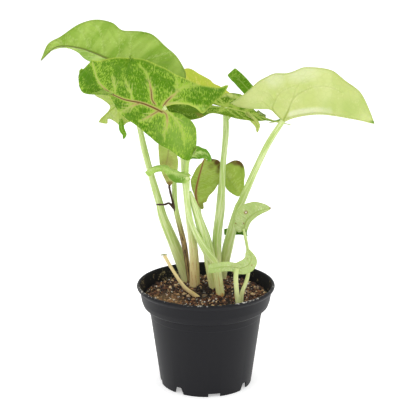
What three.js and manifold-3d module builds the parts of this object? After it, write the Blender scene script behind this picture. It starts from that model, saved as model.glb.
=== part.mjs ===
// Arrowhead plant (Syngonium podophyllum) in a round black nursery pot.
// Millimetres, +Z up. The pot's axis is the Z axis and the pot stands on Z = 0.
import * as THREE from 'three';
import { mergeGeometries, mergeVertices } from 'three/addons/utils/BufferGeometryUtils.js';
import Module from 'manifold-3d';

const wasm = await Module();
wasm.setup();

// ---------------------------------------------------------------- driving dimensions

const GAP = 0.3;              // air left between pieces that touch
const WELD = 1e-3;            // vertices closer than this are one vertex
const SLIVER = 0.02;          // edges shorter than this are taken out of a joined solid

const POT_HEIGHT = 86;
const POT_RIM_RADIUS = 57.5;  // outside of the rolled lip
const POT_BASE_RADIUS = 38.4;
const POT_TAPER = 0.134;      // growth of the wall's radius for each mm of height
const POT_WALL = 1.3;
const POT_SIDES = 40;
const LIP_THICKNESS = 2.4;
const COLLAR_HEIGHT = 19.2;   // the wider band below the lip
const COLLAR_TOP_RADIUS = 54.9;
const COLLAR_FOOT_RADIUS = 51.6;
const FLOOR_THICKNESS = 1.4;
const FLOOR_RISE = 5;         // the floor stands up between its centre pad and the skirt
const PAD_RADIUS = 18;        // flat centre pad that touches the table
const RAMP_RADIUS = 24;

const NOTCH_COUNT = 4;        // drain notches of each kind round the skirt
const TALL_NOTCH = { height: 6, footWidth: 9, topWidth: 5, angle: -35 };
const LOW_NOTCH = { height: 2.9, footWidth: 10, topWidth: 10, angle: 10.5 };
const NOTCH_REACH = 12;       // length of the window that cuts a notch through the skirt
const DRAIN_SLOT = { from: 29, to: 35.5, width: 5 };

const SOIL_EDGE_HEIGHT = 74.5;
const SOIL_MOUND = 10;        // the soil's middle stands this much above its edge
const MOUND_SPREAD = 30;
const SOIL_CENTRE = new THREE.Vector2(4, 4);
const SOIL_CRUMB = 0.9;       // half the height of the lumps on the surface
const LUMP_WAVES = [[0.9, 0.35], [-0.4, 0.75], [1.7, -1.1]]; // radians a mm along X and Y
const SOIL_RINGS = 7;
const ROOT_HEIGHT = 62;       // leaf stalks stand in the soil down to this height
const SHALLOW_ROOT_HEIGHT = 71;

const BLADE_THICKNESS = 0.8;
const KEEL_DEPTH = 1.1;       // extra thickness of the midrib under a full-sized blade
const KEEL_WIDTH = 3;         // the keel fades out this far from the midrib, or sooner,
const KEEL_SHARE = 0.3;       // at this share of a narrow blade's half-width
const FULL_HALF_WIDTH = 20;   // blades at least this wide on one side have the full keel
const STALK_SIDES = 8;

// ---------------------------------------------------------------- colours and finishes

function finish(color, roughness, metalness = 0) {
  return new THREE.MeshStandardMaterial({ color, roughness, metalness });
}

const FINISH = {
  pot: finish(0x2e2f31, 0.45),
  soil: finish(0x4a3323, 0.95),
  variegated: finish(0x6fa32f, 0.45),
  underside: finish(0xb3cd78, 0.5),
  yellowing: finish(0xc6c557, 0.5),
  young: finish(0x9cc25a, 0.5),
  stalk: finish(0xdcb970, 0.7),
};

// ---------------------------------------------------------------- solids and booleans

function weld(geometry) {
  const bare = geometry.clone();
  for (const name of Object.keys(bare.attributes)) {
    if (name !== 'position') bare.deleteAttribute(name);
  }
  const merged = mergeVertices(bare, WELD);
  const kept = [];
  const corners = merged.index.array;
  for (let i = 0; i < corners.length; i += 3) {
    const [a, b, c] = corners.slice(i, i + 3);
    if (a !== b && b !== c && c !== a) kept.push(a, b, c);
  }
  merged.setIndex(kept);
  return merged;
}

function signedVolume(positions, corners) {
  const [a, b, c] = [new THREE.Vector3(), new THREE.Vector3(), new THREE.Vector3()];
  let volume = 0;
  for (let i = 0; i < corners.length; i += 3) {
    a.fromArray(positions, 3 * corners[i]);
    b.fromArray(positions, 3 * corners[i + 1]);
    c.fromArray(positions, 3 * corners[i + 2]);
    volume += a.dot(b.cross(c)) / 6;
  }
  return volume;
}

// A closed geometry as a manifold-3d solid, with its faces turned outward.
function solid(geometry) {
  const closed = weld(geometry);
  const vertProperties = Float32Array.from(closed.attributes.position.array);
  const triVerts = Uint32Array.from(closed.index.array);
  if (signedVolume(vertProperties, triVerts) < 0) triVerts.reverse();
  return new wasm.Manifold(new wasm.Mesh({ numProp: 3, vertProperties, triVerts }));
}

function geometryOf(manifold) {
  const mesh = manifold.getMesh();
  const geometry = new THREE.BufferGeometry();
  geometry.setAttribute('position', new THREE.BufferAttribute(mesh.vertProperties, 3));
  geometry.setIndex(new THREE.BufferAttribute(mesh.triVerts, 1));
  geometry.computeVertexNormals();
  return geometry;
}

function lathe(profile, sides) {
  const points = profile.map(([radius, height]) => new THREE.Vector2(radius, height));
  return new THREE.LatheGeometry(points, sides).rotateX(Math.PI / 2);
}

// ---------------------------------------------------------------- nursery pot

function wallRadius(z) {
  return POT_BASE_RADIUS + POT_TAPER * z;
}

function innerRadius(z) {
  return wallRadius(z) - POT_WALL;
}

function potProfile() {
  const collarFoot = POT_HEIGHT - COLLAR_HEIGHT;
  const floorTop = FLOOR_RISE + FLOOR_THICKNESS;
  return [
    [0, 0],
    [PAD_RADIUS, 0],
    [RAMP_RADIUS, FLOOR_RISE],
    [innerRadius(FLOOR_RISE), FLOOR_RISE],
    [innerRadius(0), 0],
    [POT_BASE_RADIUS, 0],
    [wallRadius(collarFoot), collarFoot],
    [COLLAR_FOOT_RADIUS - 1.2, collarFoot + 0.2],
    [COLLAR_FOOT_RADIUS + 0.6, collarFoot + 1.8],
    [COLLAR_FOOT_RADIUS + 2, collarFoot + 6],
    [COLLAR_TOP_RADIUS, POT_HEIGHT - 5],
    [POT_RIM_RADIUS - 0.5, POT_HEIGHT - 3],
    [POT_RIM_RADIUS, POT_HEIGHT - 1.5],
    [POT_RIM_RADIUS - 0.8, POT_HEIGHT],
    [POT_RIM_RADIUS - LIP_THICKNESS + 0.4, POT_HEIGHT],
    [POT_RIM_RADIUS - LIP_THICKNESS - 0.2, POT_HEIGHT - 1],
    [COLLAR_FOOT_RADIUS + 2 - POT_WALL, collarFoot + 6],
    [COLLAR_FOOT_RADIUS + 0.2 - POT_WALL, collarFoot + 2.6],
    [innerRadius(collarFoot) + 0.8, collarFoot + 1.2],
    [innerRadius(collarFoot), collarFoot - 0.6],
    [innerRadius(floorTop), floorTop],
    [RAMP_RADIUS + 0.6, floorTop],
    [PAD_RADIUS + 0.6, FLOOR_THICKNESS],
    [0, FLOOR_THICKNESS],
  ];
}

// A trapezoid window through the skirt, turned to its angle from the pot's front.
function skirtNotch({ height, footWidth, topWidth, angle }) {
  const below = -1;
  const outline = new THREE.Shape([
    new THREE.Vector2(-footWidth / 2, below),
    new THREE.Vector2(footWidth / 2, below),
    new THREE.Vector2(footWidth / 2, 0),
    new THREE.Vector2(topWidth / 2, height),
    new THREE.Vector2(-topWidth / 2, height),
    new THREE.Vector2(-footWidth / 2, 0),
  ]);
  const depth = NOTCH_REACH;
  const window = new THREE.ExtrudeGeometry(outline, { depth, bevelEnabled: false });
  window.rotateX(Math.PI / 2);
  window.translate(0, -(POT_BASE_RADIUS - depth / 2 - 1), 0);
  return window.rotateZ(THREE.MathUtils.degToRad(angle));
}

function drainSlot(angle) {
  const { from, to, width } = DRAIN_SLOT;
  const slot = new THREE.BoxGeometry(width, to - from, 4 * FLOOR_THICKNESS);
  slot.translate(0, -(from + to) / 2, FLOOR_RISE);
  return slot.rotateZ(THREE.MathUtils.degToRad(angle));
}

function makePot() {
  let pot = solid(lathe(potProfile(), POT_SIDES));
  for (let i = 0; i < NOTCH_COUNT; i += 1) {
    const turn = (360 / NOTCH_COUNT) * i;
    const tall = { ...TALL_NOTCH, angle: TALL_NOTCH.angle + turn };
    const low = { ...LOW_NOTCH, angle: LOW_NOTCH.angle + turn };
    pot = pot.subtract(solid(skirtNotch(tall)));
    pot = pot.subtract(solid(skirtNotch(low)));
    pot = pot.subtract(solid(drainSlot(tall.angle)));
  }
  return pot;
}

// ---------------------------------------------------------------- leaf outlines

// Half outlines in shares. The first number runs along the midrib, 1 at the tip and 0 where
// the stalk joins, and below 0 it runs back along the basal lobe. The second is the distance
// from the midrib as a share of the half-width. margin goes round the outside from the tip
// to the lobe's tip, and sinus from the stalk back to it.
const OUTLINE = {
  pointed: {
    margin: [[1, 0], [0.9, 0.11], [0.72, 0.38], [0.5, 0.7], [0.26, 0.95], [0.04, 1],
      [-0.3, 0.9], [-0.68, 0.78], [-1, 0.52]],
    sinus: [[0, 0], [-0.25, 0.06], [-0.62, 0.2], [-1, 0.52]],
  },
  oval: {
    margin: [[1, 0], [0.92, 0.4], [0.72, 0.8], [0.48, 1], [0.24, 0.95], [0.04, 0.8],
      [-0.35, 0.75], [-0.75, 0.6], [-1, 0.3]],
    sinus: [[0, 0], [-0.3, 0.03], [-0.7, 0.1], [-1, 0.3]],
  },
  blunt: {
    margin: [[1, 0], [1, 0.5], [0.97, 0.9], [0.75, 1], [0.4, 1], [0.04, 0.9],
      [-0.35, 0.75], [-0.75, 0.6], [-1, 0.3]],
    sinus: [[0, 0], [-0.3, 0.03], [-0.7, 0.1], [-1, 0.3]],
  },
  tapered: {
    margin: [[1, 0], [0.88, 0.17], [0.75, 0.22], [0.62, 0.55], [0.52, 0.72], [0.4, 0.76],
      [0.28, 0.71], [0.15, 0.93], [0.02, 0.97], [-0.35, 0.89], [-0.81, 0.71], [-1, 0.5]],
    sinus: [[0, 0], [-0.25, 0.05], [-0.62, 0.16], [-1, 0.5]],
  },
  waisted: {
    margin: [[1, 0], [0.9, 0.12], [0.78, 0.24], [0.66, 0.24], [0.5, 0.57], [0.34, 0.92],
      [0.04, 1], [-0.3, 0.9], [-0.68, 0.78], [-1, 0.52]],
    sinus: [[0, 0], [-0.25, 0.06], [-0.62, 0.2], [-1, 0.52]],
  },
  domed: {
    margin: [[1, 0], [0.91, 0.26], [0.77, 0.59], [0.59, 0.76], [0.44, 0.91], [0.28, 0.97],
      [0.16, 0.92], [0.04, 0.98], [-0.12, 0.96], [-0.32, 0.89], [-0.57, 0.72], [-0.8, 0.56],
      [-1.12, 0.36]],
    sinus: [[0, 0], [-0.06, 0.05], [-0.13, 0.15], [-0.24, 0.26], [-0.55, 0.29],
      [-0.92, 0.31], [-1.12, 0.36]],
  },
  notched: {
    margin: [[1, 0], [1, 0.3], [1, 0.54], [0.94, 0.66], [0.87, 0.74], [0.8, 0.72],
      [0.72, 0.5], [0.67, 0.23], [0.57, 0.2], [0.48, 0.43], [0.39, 0.58], [0.25, 0.66],
      [0.12, 0.78], [-0.02, 0.88], [-0.36, 0.95], [-0.72, 1.04], [-0.93, 1], [-0.97, 0.75]],
    sinus: [[0, 0], [-0.16, 0.08], [-0.38, 0.06], [-0.54, 0.1], [-0.69, 0.15],
      [-0.83, 0.27], [-0.9, 0.42], [-0.97, 0.62], [-0.97, 0.75]],
  },
  arched: {
    margin: [[1, 0], [0.93, 0.18], [0.88, 0.4], [0.8, 0.65], [0.65, 0.86], [0.48, 0.93],
      [0.33, 0.92], [0.17, 0.9], [0.02, 0.81], [-0.17, 0.73], [-0.36, 0.67], [-0.51, 0.63],
      [-0.65, 0.63], [-0.78, 0.65], [-0.88, 0.72], [-0.93, 0.73]],
    sinus: [[0, 0], [-0.16, 0.11], [-0.32, 0.16], [-0.46, 0.12], [-0.55, 0.04],
      [-0.64, 0.17], [-0.74, 0.34], [-0.85, 0.51], [-0.93, 0.73]],
  },
  scrolled: {
    margin: [[1, 0], [0.8, 0.05], [0.6, 0.12], [0.5, 0.42], [0.42, 0.8], [0.32, 0.98],
      [0.18, 0.82], [0.04, 0.6], [-0.16, 0.34], [-0.4, 0.2], [-1, 0.15]],
    sinus: [[0, 0], [-0.3, 0.03], [-0.7, 0.06], [-1, 0.15]],
  },
  bulging: {
    margin: [[1, 0], [0.8, 0.03], [0.62, 0.11], [0.5, 0.27], [0.38, 0.39], [0.2, 0.5],
      [0.04, 0.48], [-0.07, 0.46], [-0.16, 0.45], [-0.27, 0.56], [-0.44, 0.93],
      [-0.57, 1.12], [-0.75, 1.08], [-0.92, 0.85], [-1, 0.55]],
    sinus: [[0, 0], [-0.2, 0.05], [-0.5, 0.15], [-0.85, 0.3], [-1, 0.55]],
  },
  ribbon: {
    margin: [[1, 0], [0.88, 0.42], [0.65, 0.58], [0.46, 0.82], [0.32, 0.71], [0.15, 0.62],
      [0.04, 0.44], [-0.4, 0.35], [-1, 0.2]],
    sinus: [[0, 0], [-0.3, 0.03], [-0.7, 0.08], [-1, 0.2]],
  },
  frayed: {
    margin: [[1, 0], [0.94, 0.12], [1, 0.2], [1, 0.3], [0.97, 0.37], [0.9, 0.43],
      [0.75, 0.47], [0.58, 0.49], [0.49, 0.46], [0.37, 0.41], [0.24, 0.3], [0.12, 0.22],
      [0.04, 0.13], [-1, 0.1]],
    sinus: [[0, 0], [-0.5, 0.03], [-1, 0.1]],
  },
  slender: {
    margin: [[1, 0], [0.9, 0.15], [0.81, 0.48], [0.66, 0.73], [0.52, 0.88], [0.38, 0.6],
      [0.25, 0.22], [0.1, 0.12], [0.03, 0.12], [-1, 0.1]],
    sinus: [[0, 0], [-0.5, 0.03], [-1, 0.1]],
  },
  trimmed: {
    margin: [[1, 0], [0.96, 0.28], [0.76, 0.72], [0.6, 0.88], [0.46, 0.8], [0.3, 0.86],
      [0.04, 0.6], [-1, 0.2]],
    sinus: [[0, 0], [-0.5, 0.03], [-1, 0.2]],
  },
  crowned: {
    margin: [[1, 0], [0.98, 0.45], [0.78, 0.82], [0.66, 1.2], [0.56, 1.48], [0.45, 1.56],
      [0.36, 1.38], [0.29, 0.98], [0.2, 0.6], [0.04, 0.4], [-1, 0.2]],
    sinus: [[0, 0], [-0.5, 0.03], [-1, 0.2]],
  },
  swollen: {
    margin: [[1, 0], [0.95, 0.21], [0.85, 0.62], [0.74, 0.91], [0.48, 1.06], [0.27, 0.82],
      [0.04, 0.6], [-0.5, 0.4], [-1, 0.2]],
    sinus: [[0, 0], [-0.5, 0.05], [-1, 0.2]],
  },
  flared: {
    margin: [[1, 0], [0.94, 0.35], [0.8, 0.51], [0.64, 0.73], [0.44, 1.02], [0.18, 1.47],
      [0.04, 1.5], [-0.5, 1], [-1, 0.4]],
    sinus: [[0, 0], [-0.5, 0.1], [-1, 0.4]],
  },
  tornAbove: {
    margin: [[1, 0], [0.92, 0.07], [0.82, 0.05], [0.71, 0.08], [0.66, 0.24], [0.71, 0.75],
      [0.78, 1.3], [0.66, 1.38], [0.49, 1.26], [0.04, 1], [-0.35, 0.75], [-0.75, 0.6],
      [-1, 0.3]],
    sinus: [[0, 0], [-0.3, 0.03], [-0.7, 0.1], [-1, 0.3]],
  },
  tornBelow: {
    margin: [[1, 0], [0.94, 0.27], [0.87, 0.5], [0.83, 0.3], [0.78, 0.44], [0.72, 0.85],
      [0.65, 1.35], [0.55, 1.43], [0.39, 1.46], [0.14, 1.22], [0.04, 1.1], [-0.35, 0.75],
      [-1, 0.3]],
    sinus: [[0, 0], [-0.3, 0.03], [-0.7, 0.1], [-1, 0.3]],
  },
  hooked: {
    margin: [[1, 0], [0.97, 0.7], [0.88, 1], [0.8, 0.85], [0.72, 1.35], [0.62, 0.92],
      [0.44, 0.4], [0.2, 0.3], [0.04, 0.4], [-0.5, 0.5], [-1, 0.3]],
    sinus: [[0, 0], [-0.3, 0.03], [-0.7, 0.1], [-1, 0.3]],
  },
  spooned: {
    margin: [[1, 0], [0.96, 0.6], [0.86, 1.2], [0.76, 1.35], [0.62, 1.2], [0.53, 1],
      [0.46, 0.45], [0.38, 0.25], [0.2, 0.3], [0.04, 0.4], [-0.5, 0.5], [-1, 0.3]],
    sinus: [[0, 0], [-0.3, 0.03], [-0.7, 0.1], [-1, 0.3]],
  },
  hanging: {
    margin: [[1, 0], [1, 0.35], [0.96, 0.62], [0.82, 0.6], [0.65, 0.55], [0.5, 0.6],
      [0.36, 0.82], [0.22, 1], [0.04, 0.9], [-0.5, 0.6], [-1, 0.3]],
    sinus: [[0, 0], [-0.3, 0.03], [-0.7, 0.1], [-1, 0.3]],
  },
};

// Every blade has a far and a near half: left and right of the midrib, seen from above with
// the tip ahead. Pairs hold the left half's value first. fold lifts a half from the blade's
// plane by degrees at the lobe's tip, the stalk, the middle and the tip; curl bends it further
// towards the margin, at the lobe's tip, the stalk and the tip; droop bends the lobes down.
const BLADE_DEFAULTS = {
  up: [0, 0, 1],
  roll: 0,
  width: [45, 45],
  lobe: [45, 45],
  outline: ['pointed', 'pointed'],
  fold: [[10, 10, 10, 0], [10, 10, 10, 0]],
  curl: [[0, 0, 0], [0, 0, 0]],
  droop: [10, 10],
  wave: 1,
  waves: 4,
  phase: 0,
  rows: 8,
  columns: 2,
};

// ---------------------------------------------------------------- the plant

const PLANT = {
  leaf_left: {
    finish: 'underside',
    stalk: {
      path: [[-15, 24, 80], [-26, 20, 112], [-35.5, 18, 137], [-39.5, 17, 155],
        [-46.3, 16, 180], [-54.2, 15, 216]],
      radii: [5.4, 4.8, 3.8, 2.7, 2.4, 2.2, 2],
    },
    blades: [{
      rib: [[-63, 15, 264], [-78, 8, 273], [-99, 2, 282], [-118, 0, 283], [-131, 0, 272]],
      roll: 38, width: [47, 28], lobe: [44, 30], outline: ['tapered', 'waisted'],
      fold: [[10, 14, 12, 3], [20, 22, 25, 20]], curl: [[-20, -25, 0], [0, -10, 0]],
      droop: [16, 10], wave: 0.8, waves: 3, phase: 1, rows: 18, columns: 3,
    }],
  },
  leaf_front: {
    finish: 'variegated',
    stalk: {
      path: [[-9, 2, 82], [-10, -1, 115], [-14, -5, 147], [-16.5, -9, 176], [-20, -20, 211]],
      radii: [4.6, 3.9, 2.7, 2.8, 2.4, 2.2],
    },
    blades: [{
      rib: [[-32, -42, 242], [-50, -47, 247], [-64, -50, 252], [-75, -46, 260],
        [-86, -36, 277]],
      roll: -34, width: [34, 44], lobe: [36, 58], outline: ['notched', 'arched'],
      fold: [[-40, -25, 0, -10], [12, 16, 10, 0]], curl: [[-10, -10, 0], [0, 0, 0]],
      droop: [10, -6], wave: 0.5, rows: 24, columns: 3,
    }],
  },
  leaf_right: {
    finish: 'underside',
    stalk: {
      path: [[13, 24, 79], [18.6, 18, 112], [26, 11, 145], [30, 9, 155], [41, 4, 183],
        [51, 2, 205]],
      radii: [3.6, 4.5, 3.2, 3.1, 2.6, 2.5, 2.2],
    },
    blades: [{
      rib: [[62, 0, 224], [77, -3, 228.2], [93, -4, 229.4], [115, -4, 226], [135, -2, 222]],
      roll: -42, width: [22, 49], lobe: [14, 40], outline: ['pointed', 'domed'],
      fold: [[34, 40, 80, 40], [30, 24, 22, 10]], curl: [[0, 0, 0], [-20, -16, 0]],
      droop: [-10, -24], wave: 0.4, rows: 18, columns: 3,
    }],
  },
  leaf_middle: {
    finish: 'variegated',
    stalk: {
      path: [[9, 14, 80], [9, 14, 119], [12, 14, 146], [13, 15, 156], [14, 20, 182],
        [17, 24, 211]],
      radii: [4.2, 4.1, 3.8, 2.9, 2.6, 2.1, 1.8],
    },
    blades: [{
      rib: [[16, 25, 230], [28, 26, 227], [41, 28, 223], [56, 31, 218], [71, 34, 214]],
      roll: -4, width: [36, 44], lobe: [30, 56], outline: ['scrolled', 'bulging'],
      fold: [[20, 30, 10, 0], [-14, -12, -10, 0]], droop: [0, 0], wave: 0.4,
      rows: 16, columns: 3,
    }, {
      rib: [[34, 14, 226], [38, 12, 222], [42, 11, 217], [42, 11, 211]],
      up: [0, 1, 0], width: [2.5, 2.5], lobe: [2, 2], outline: ['oval', 'oval'], wave: 0.2,
    }],
  },
  leaf_back: {
    finish: 'yellowing',
    stalk: {
      path: [[4, 27, 82], [9, 33, 128], [13, 40, 170], [16, 52, 205], [15, 59, 225]],
      radii: [2, 2, 1.7, 1.6, 1.5, 1.5],
    },
    blades: [{
      rib: [[10, 62, 236], [-2, 62, 240], [-14, 61, 245], [-29, 59, 248], [-47, 57, 250]],
      roll: -30, width: [12, 18], lobe: [16, 16], outline: ['pointed', 'ribbon'],
      droop: [20, 20], wave: 0.4, rows: 10, columns: 2,
    }],
  },
  leaf_behind: {
    finish: 'young',
    stalk: {
      path: [[8, 36, 80], [10, 42, 125], [14, 50, 170], [17, 57, 205], [18.5, 58.5, 213],
        [26, 58, 220], [38, 54, 223]],
      radii: [1.9, 1.9, 1.6, 1.5, 1.4, 1.4, 1.4, 1.4],
    },
    blades: [{
      rib: [[43, 48.4, 232.4], [36, 47, 240], [29, 45, 248], [21, 43, 256]],
      up: [0, -1, 0], width: [5, 5], lobe: [6, 6], outline: ['blunt', 'blunt'], wave: 0.3,
    }],
  },
  leaf_low: {
    finish: 'yellowing',
    stalk: {
      path: [[-17, 35, 79], [-27, 30, 110], [-38, 26, 140], [-48, 25, 178], [-54, 25, 208]],
      radii: [2, 2, 1.8, 1.6, 1.5, 1.5],
    },
    blades: [{
      rib: [[-50, 26, 236], [-64, 25, 235], [-76, 23, 229], [-88, 20, 218]],
      up: [0, 1, 0], width: [14, 12], lobe: [12, 12], outline: ['tornAbove', 'tornBelow'],
      droop: [0, 0], wave: 0.5, rows: 18, columns: 2,
    }, {
      rib: [[-70, 24, 218], [-69, 23, 211], [-67, 23, 207], [-68, 23, 203]],
      up: [0, 1, 0], width: [2.2, 2.2], lobe: [2, 2], outline: ['oval', 'oval'], wave: 0.2,
    }],
  },
  leaf_curled: {
    finish: 'young',
    stalk: {
      path: [[12, -14, 81], [8, -13, 105], [0, -13, 118], [-11, -14, 140], [-15, -17, 164]],
      radii: [3.5, 3.5, 3.1, 2, 2.4, 2.6],
    },
    sheath: {
      path: [[6, -4, 84], [2.5, -6, 104], [-0.2, -7, 122], [-4.7, -9, 138], [-8.6, -12, 154],
        [-13, -16, 168]],
      radii: [3.4, 3.3, 3.2, 3.3, 3, 1.8],
    },
    blades: [{
      rib: [[-15, -20, 183], [-24, -22, 186], [-32, -24, 191], [-41, -26, 191],
        [-48, -26, 187]],
      width: [8, 4], lobe: [4, 4], outline: ['hanging', 'pointed'],
      fold: [[-50, -60, -60, -70], [30, 20, 20, 20]], wave: 0.5, rows: 12,
    }, {
      rib: [[-16, -18, 182], [-13.5, -19.5, 195.5], [-7.5, -21, 200.5], [-1, -20, 201],
        [5, -19, 196]],
      up: [0, -1, 0], width: [5, 5], lobe: [4, 4], outline: ['hooked', 'spooned'], wave: 0.2,
      rows: 14,
    }],
  },
  leaf_withered: {
    finish: 'yellowing',
    stalk: {
      path: [[-14, 14, 83], [-18, 14, 114], [-25, 13, 147], [-26, 12, 168], [-27, 9, 189]],
      radii: [1.7, 2.4, 2.2, 2, 1.7, 1.4],
    },
    twigs: [{
      path: [[-25, 13, 142], [-29, 8, 161], [-30, 3, 169]],
      radii: [0.9, 0.8, 0.7],
    }, {
      path: [[-25, 13, 145], [-30, 9, 152], [-34, 9, 151], [-41, 9, 151]],
      radii: [0.9, 0.8, 0.8, 0.6],
    }],
    blades: [{
      rib: [[-28, 4, 206], [-31, 2, 193], [-32, 2, 181], [-29, 3, 168]],
      up: [0, -1, 0], width: [9, 6], lobe: [4, 4], outline: ['swollen', 'flared'],
      wave: 0.4, rows: 10,
    }],
  },
  leaf_drooping: {
    finish: 'young',
    stalk: {
      path: [[10, 6, 81], [3, 8, 117], [-5, 15, 138]],
      radii: [2.6, 2.6, 2.4, 1.8],
    },
    blades: [{
      rib: [[-6, 23, 144], [-8, 25, 156], [-6, 27, 168], [-1, 27, 187]],
      up: [0, 1, 0], width: [36, 7], lobe: [1, 1], outline: ['frayed', 'slender'],
      fold: [[-10, -10, -10, 0], [10, 10, 10, 0]], wave: 0.4, rows: 18, columns: 2,
    }, {
      rib: [[6, 27, 174], [17, 28, 172], [24, 28, 165], [29, 27, 154]],
      up: [0, 1, 0], width: [10, 10], lobe: [4, 4], outline: ['trimmed', 'crowned'],
      wave: 0.4, rows: 14,
    }],
  },
  seedling_upper: {
    finish: 'underside',
    stalk: {
      path: [[28.5, -30, 79], [29.5, -29, 88], [33, -26, 97], [34.5, -22, 105], [34, -14, 119]],
      radii: [1.7, 1.7, 1.6, 1.5, 1.3, 1.2],
      root: SHALLOW_ROOT_HEIGHT,
    },
    blades: [{
      rib: [[31, -4, 134], [34, -6, 143], [42, -8, 150], [53, -8, 153]],
      up: [0, 1, 0], width: [4, 11], lobe: [3, 5], outline: ['oval', 'oval'], wave: 0.4,
    }, {
      rib: [[33, -6, 131], [34, 8, 127], [29, 23, 124], [15.5, 26, 122.5]],
      up: [1, 0, 0], width: [3, 3], lobe: [1, 1], outline: ['blunt', 'blunt'], wave: 0.2,
    }],
  },
  seedling_lower: {
    finish: 'underside',
    stalk: {
      path: [[26, -36, 80], [24, -36, 101]],
      radii: [2, 1.9, 1.7],
      root: SHALLOW_ROOT_HEIGHT,
    },
    blades: [{
      rib: [[25, -36, 111], [18, -36, 112], [11, -36, 111.5], [2, -36, 110]],
      up: [0, 1, 0], width: [4, 4], lobe: [4, 4], outline: ['blunt', 'blunt'], wave: 0.2,
    }, {
      rib: [[24, -36, 110], [32, -35, 112], [36, -34, 117], [34, -33, 126]],
      up: [0, 1, 0], width: [6.5, 6], lobe: [3, 3], outline: ['oval', 'oval'], wave: 0.3,
    }],
  },
  dead_stalk: {
    finish: 'stalk',
    stalk: {
      path: [[-7, -16, 79], [-17.5, -14, 87], [-26.5, -12, 100], [-34, -10, 113]],
      radii: [2, 1.6, 1.3, 1.5],
      root: SHALLOW_ROOT_HEIGHT,
    },
    blades: [],
  },
};

// ---------------------------------------------------------------- stalks

function curveThrough(points) {
  const places = points.map((point) => new THREE.Vector3(...point));
  return new THREE.CatmullRomCurve3(places, false, 'catmullrom', 0.5);
}

function interpolate(values, share) {
  const place = THREE.MathUtils.clamp(share, 0, 1) * (values.length - 1);
  const index = Math.min(Math.floor(place), values.length - 2);
  return THREE.MathUtils.lerp(values[index], values[index + 1], place - index);
}

// A closed cylinder bent along a path, with a radius given at each of the path's points.
function taperedTube({ path, radii, extra = 0 }) {
  const curve = curveThrough(path);
  const steps = 3 * (path.length - 1);
  const frames = curve.computeFrenetFrames(steps, false);
  const tube = new THREE.CylinderGeometry(1, 1, steps, STALK_SIDES, steps);
  const spots = tube.attributes.position;
  const spot = new THREE.Vector3();
  for (let i = 0; i < spots.count; i += 1) {
    spot.fromBufferAttribute(spots, i);
    const step = Math.round(spot.y + steps / 2);
    const share = curve.getUtoTmapping(step / steps);
    const onAxis = Math.hypot(spot.x, spot.z) < 0.5;
    const radius = onAxis ? 0 : interpolate(radii, share) + extra;
    const angle = Math.atan2(spot.z, spot.x);
    const centre = curve.getPoint(share);
    centre.addScaledVector(frames.normals[step], radius * Math.cos(angle));
    centre.addScaledVector(frames.binormals[step], radius * Math.sin(angle));
    spots.setXYZ(i, ...centre);
  }
  return tube;
}

// The stalk's path carried on straight down into the soil, to the given height.
function rootedPath(path, rootHeight) {
  const [first, second] = path.slice(0, 2).map((point) => new THREE.Vector3(...point));
  const lean = first.clone().sub(second);
  const root = first.clone().addScaledVector(lean, (rootHeight - first.z) / lean.z);
  return [root.toArray(), ...path];
}

function stalkTubes(plantPart) {
  return [plantPart.stalk, plantPart.sheath].filter(Boolean);
}

// ---------------------------------------------------------------- leaf blades

const RIB_STEPS = 48;
const RIB_ROWS = 0.62;        // share of a blade's rows that start on the midrib
const LEAN_FROM = 0.35;       // side directions turn half-way to the one at this share
const HALF_PHASE = 1.7;       // the two halves of a blade ripple out of step, in radians

// The midrib's points, tangents, side directions and normals, from the stalk to the tip.
function ribFrames({ rib, up, roll }) {
  const curve = curveThrough(rib);
  const points = curve.getSpacedPoints(RIB_STEPS);
  const tangents = points.map((_, i) => curve.getTangentAt(i / RIB_STEPS));
  const start = new THREE.Vector3(...up).projectOnPlane(tangents[0]).normalize();
  start.applyAxisAngle(tangents[0], THREE.MathUtils.degToRad(roll));
  const upright = [start];
  for (let i = 1; i <= RIB_STEPS; i += 1) {
    upright.push(upright[i - 1].clone().projectOnPlane(tangents[i]).normalize());
  }
  const across = upright.map((normal, i) => normal.clone().cross(tangents[i]));
  const middle = across[Math.floor(LEAN_FROM * RIB_STEPS)].clone();
  const sides = across.map((side) => side.clone().add(middle).normalize());
  const normals = sides.map((side, i) => tangents[i].clone().cross(side).normalize());
  return { length: curve.getLength(), points, tangents, sides, normals };
}

function frameAt(frames, share) {
  const place = THREE.MathUtils.clamp(share, 0, 1) * RIB_STEPS;
  const index = Math.min(Math.floor(place), RIB_STEPS - 1);
  const pick = (list) => list[index].clone().lerp(list[index + 1], place - index);
  const tangent = pick(frames.tangents).normalize();
  const side = pick(frames.sides).normalize();
  const normal = tangent.clone().cross(side).normalize();
  return { point: pick(frames.points), tangent, side, normal };
}

function between(keys, values, at) {
  const spot = THREE.MathUtils.clamp(at, keys[0], keys[keys.length - 1]);
  let index = 0;
  while (index < keys.length - 2 && spot > keys[index + 1]) index += 1;
  const share = (spot - keys[index]) / (keys[index + 1] - keys[index]);
  return THREE.MathUtils.lerp(values[index], values[index + 1], share);
}

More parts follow.
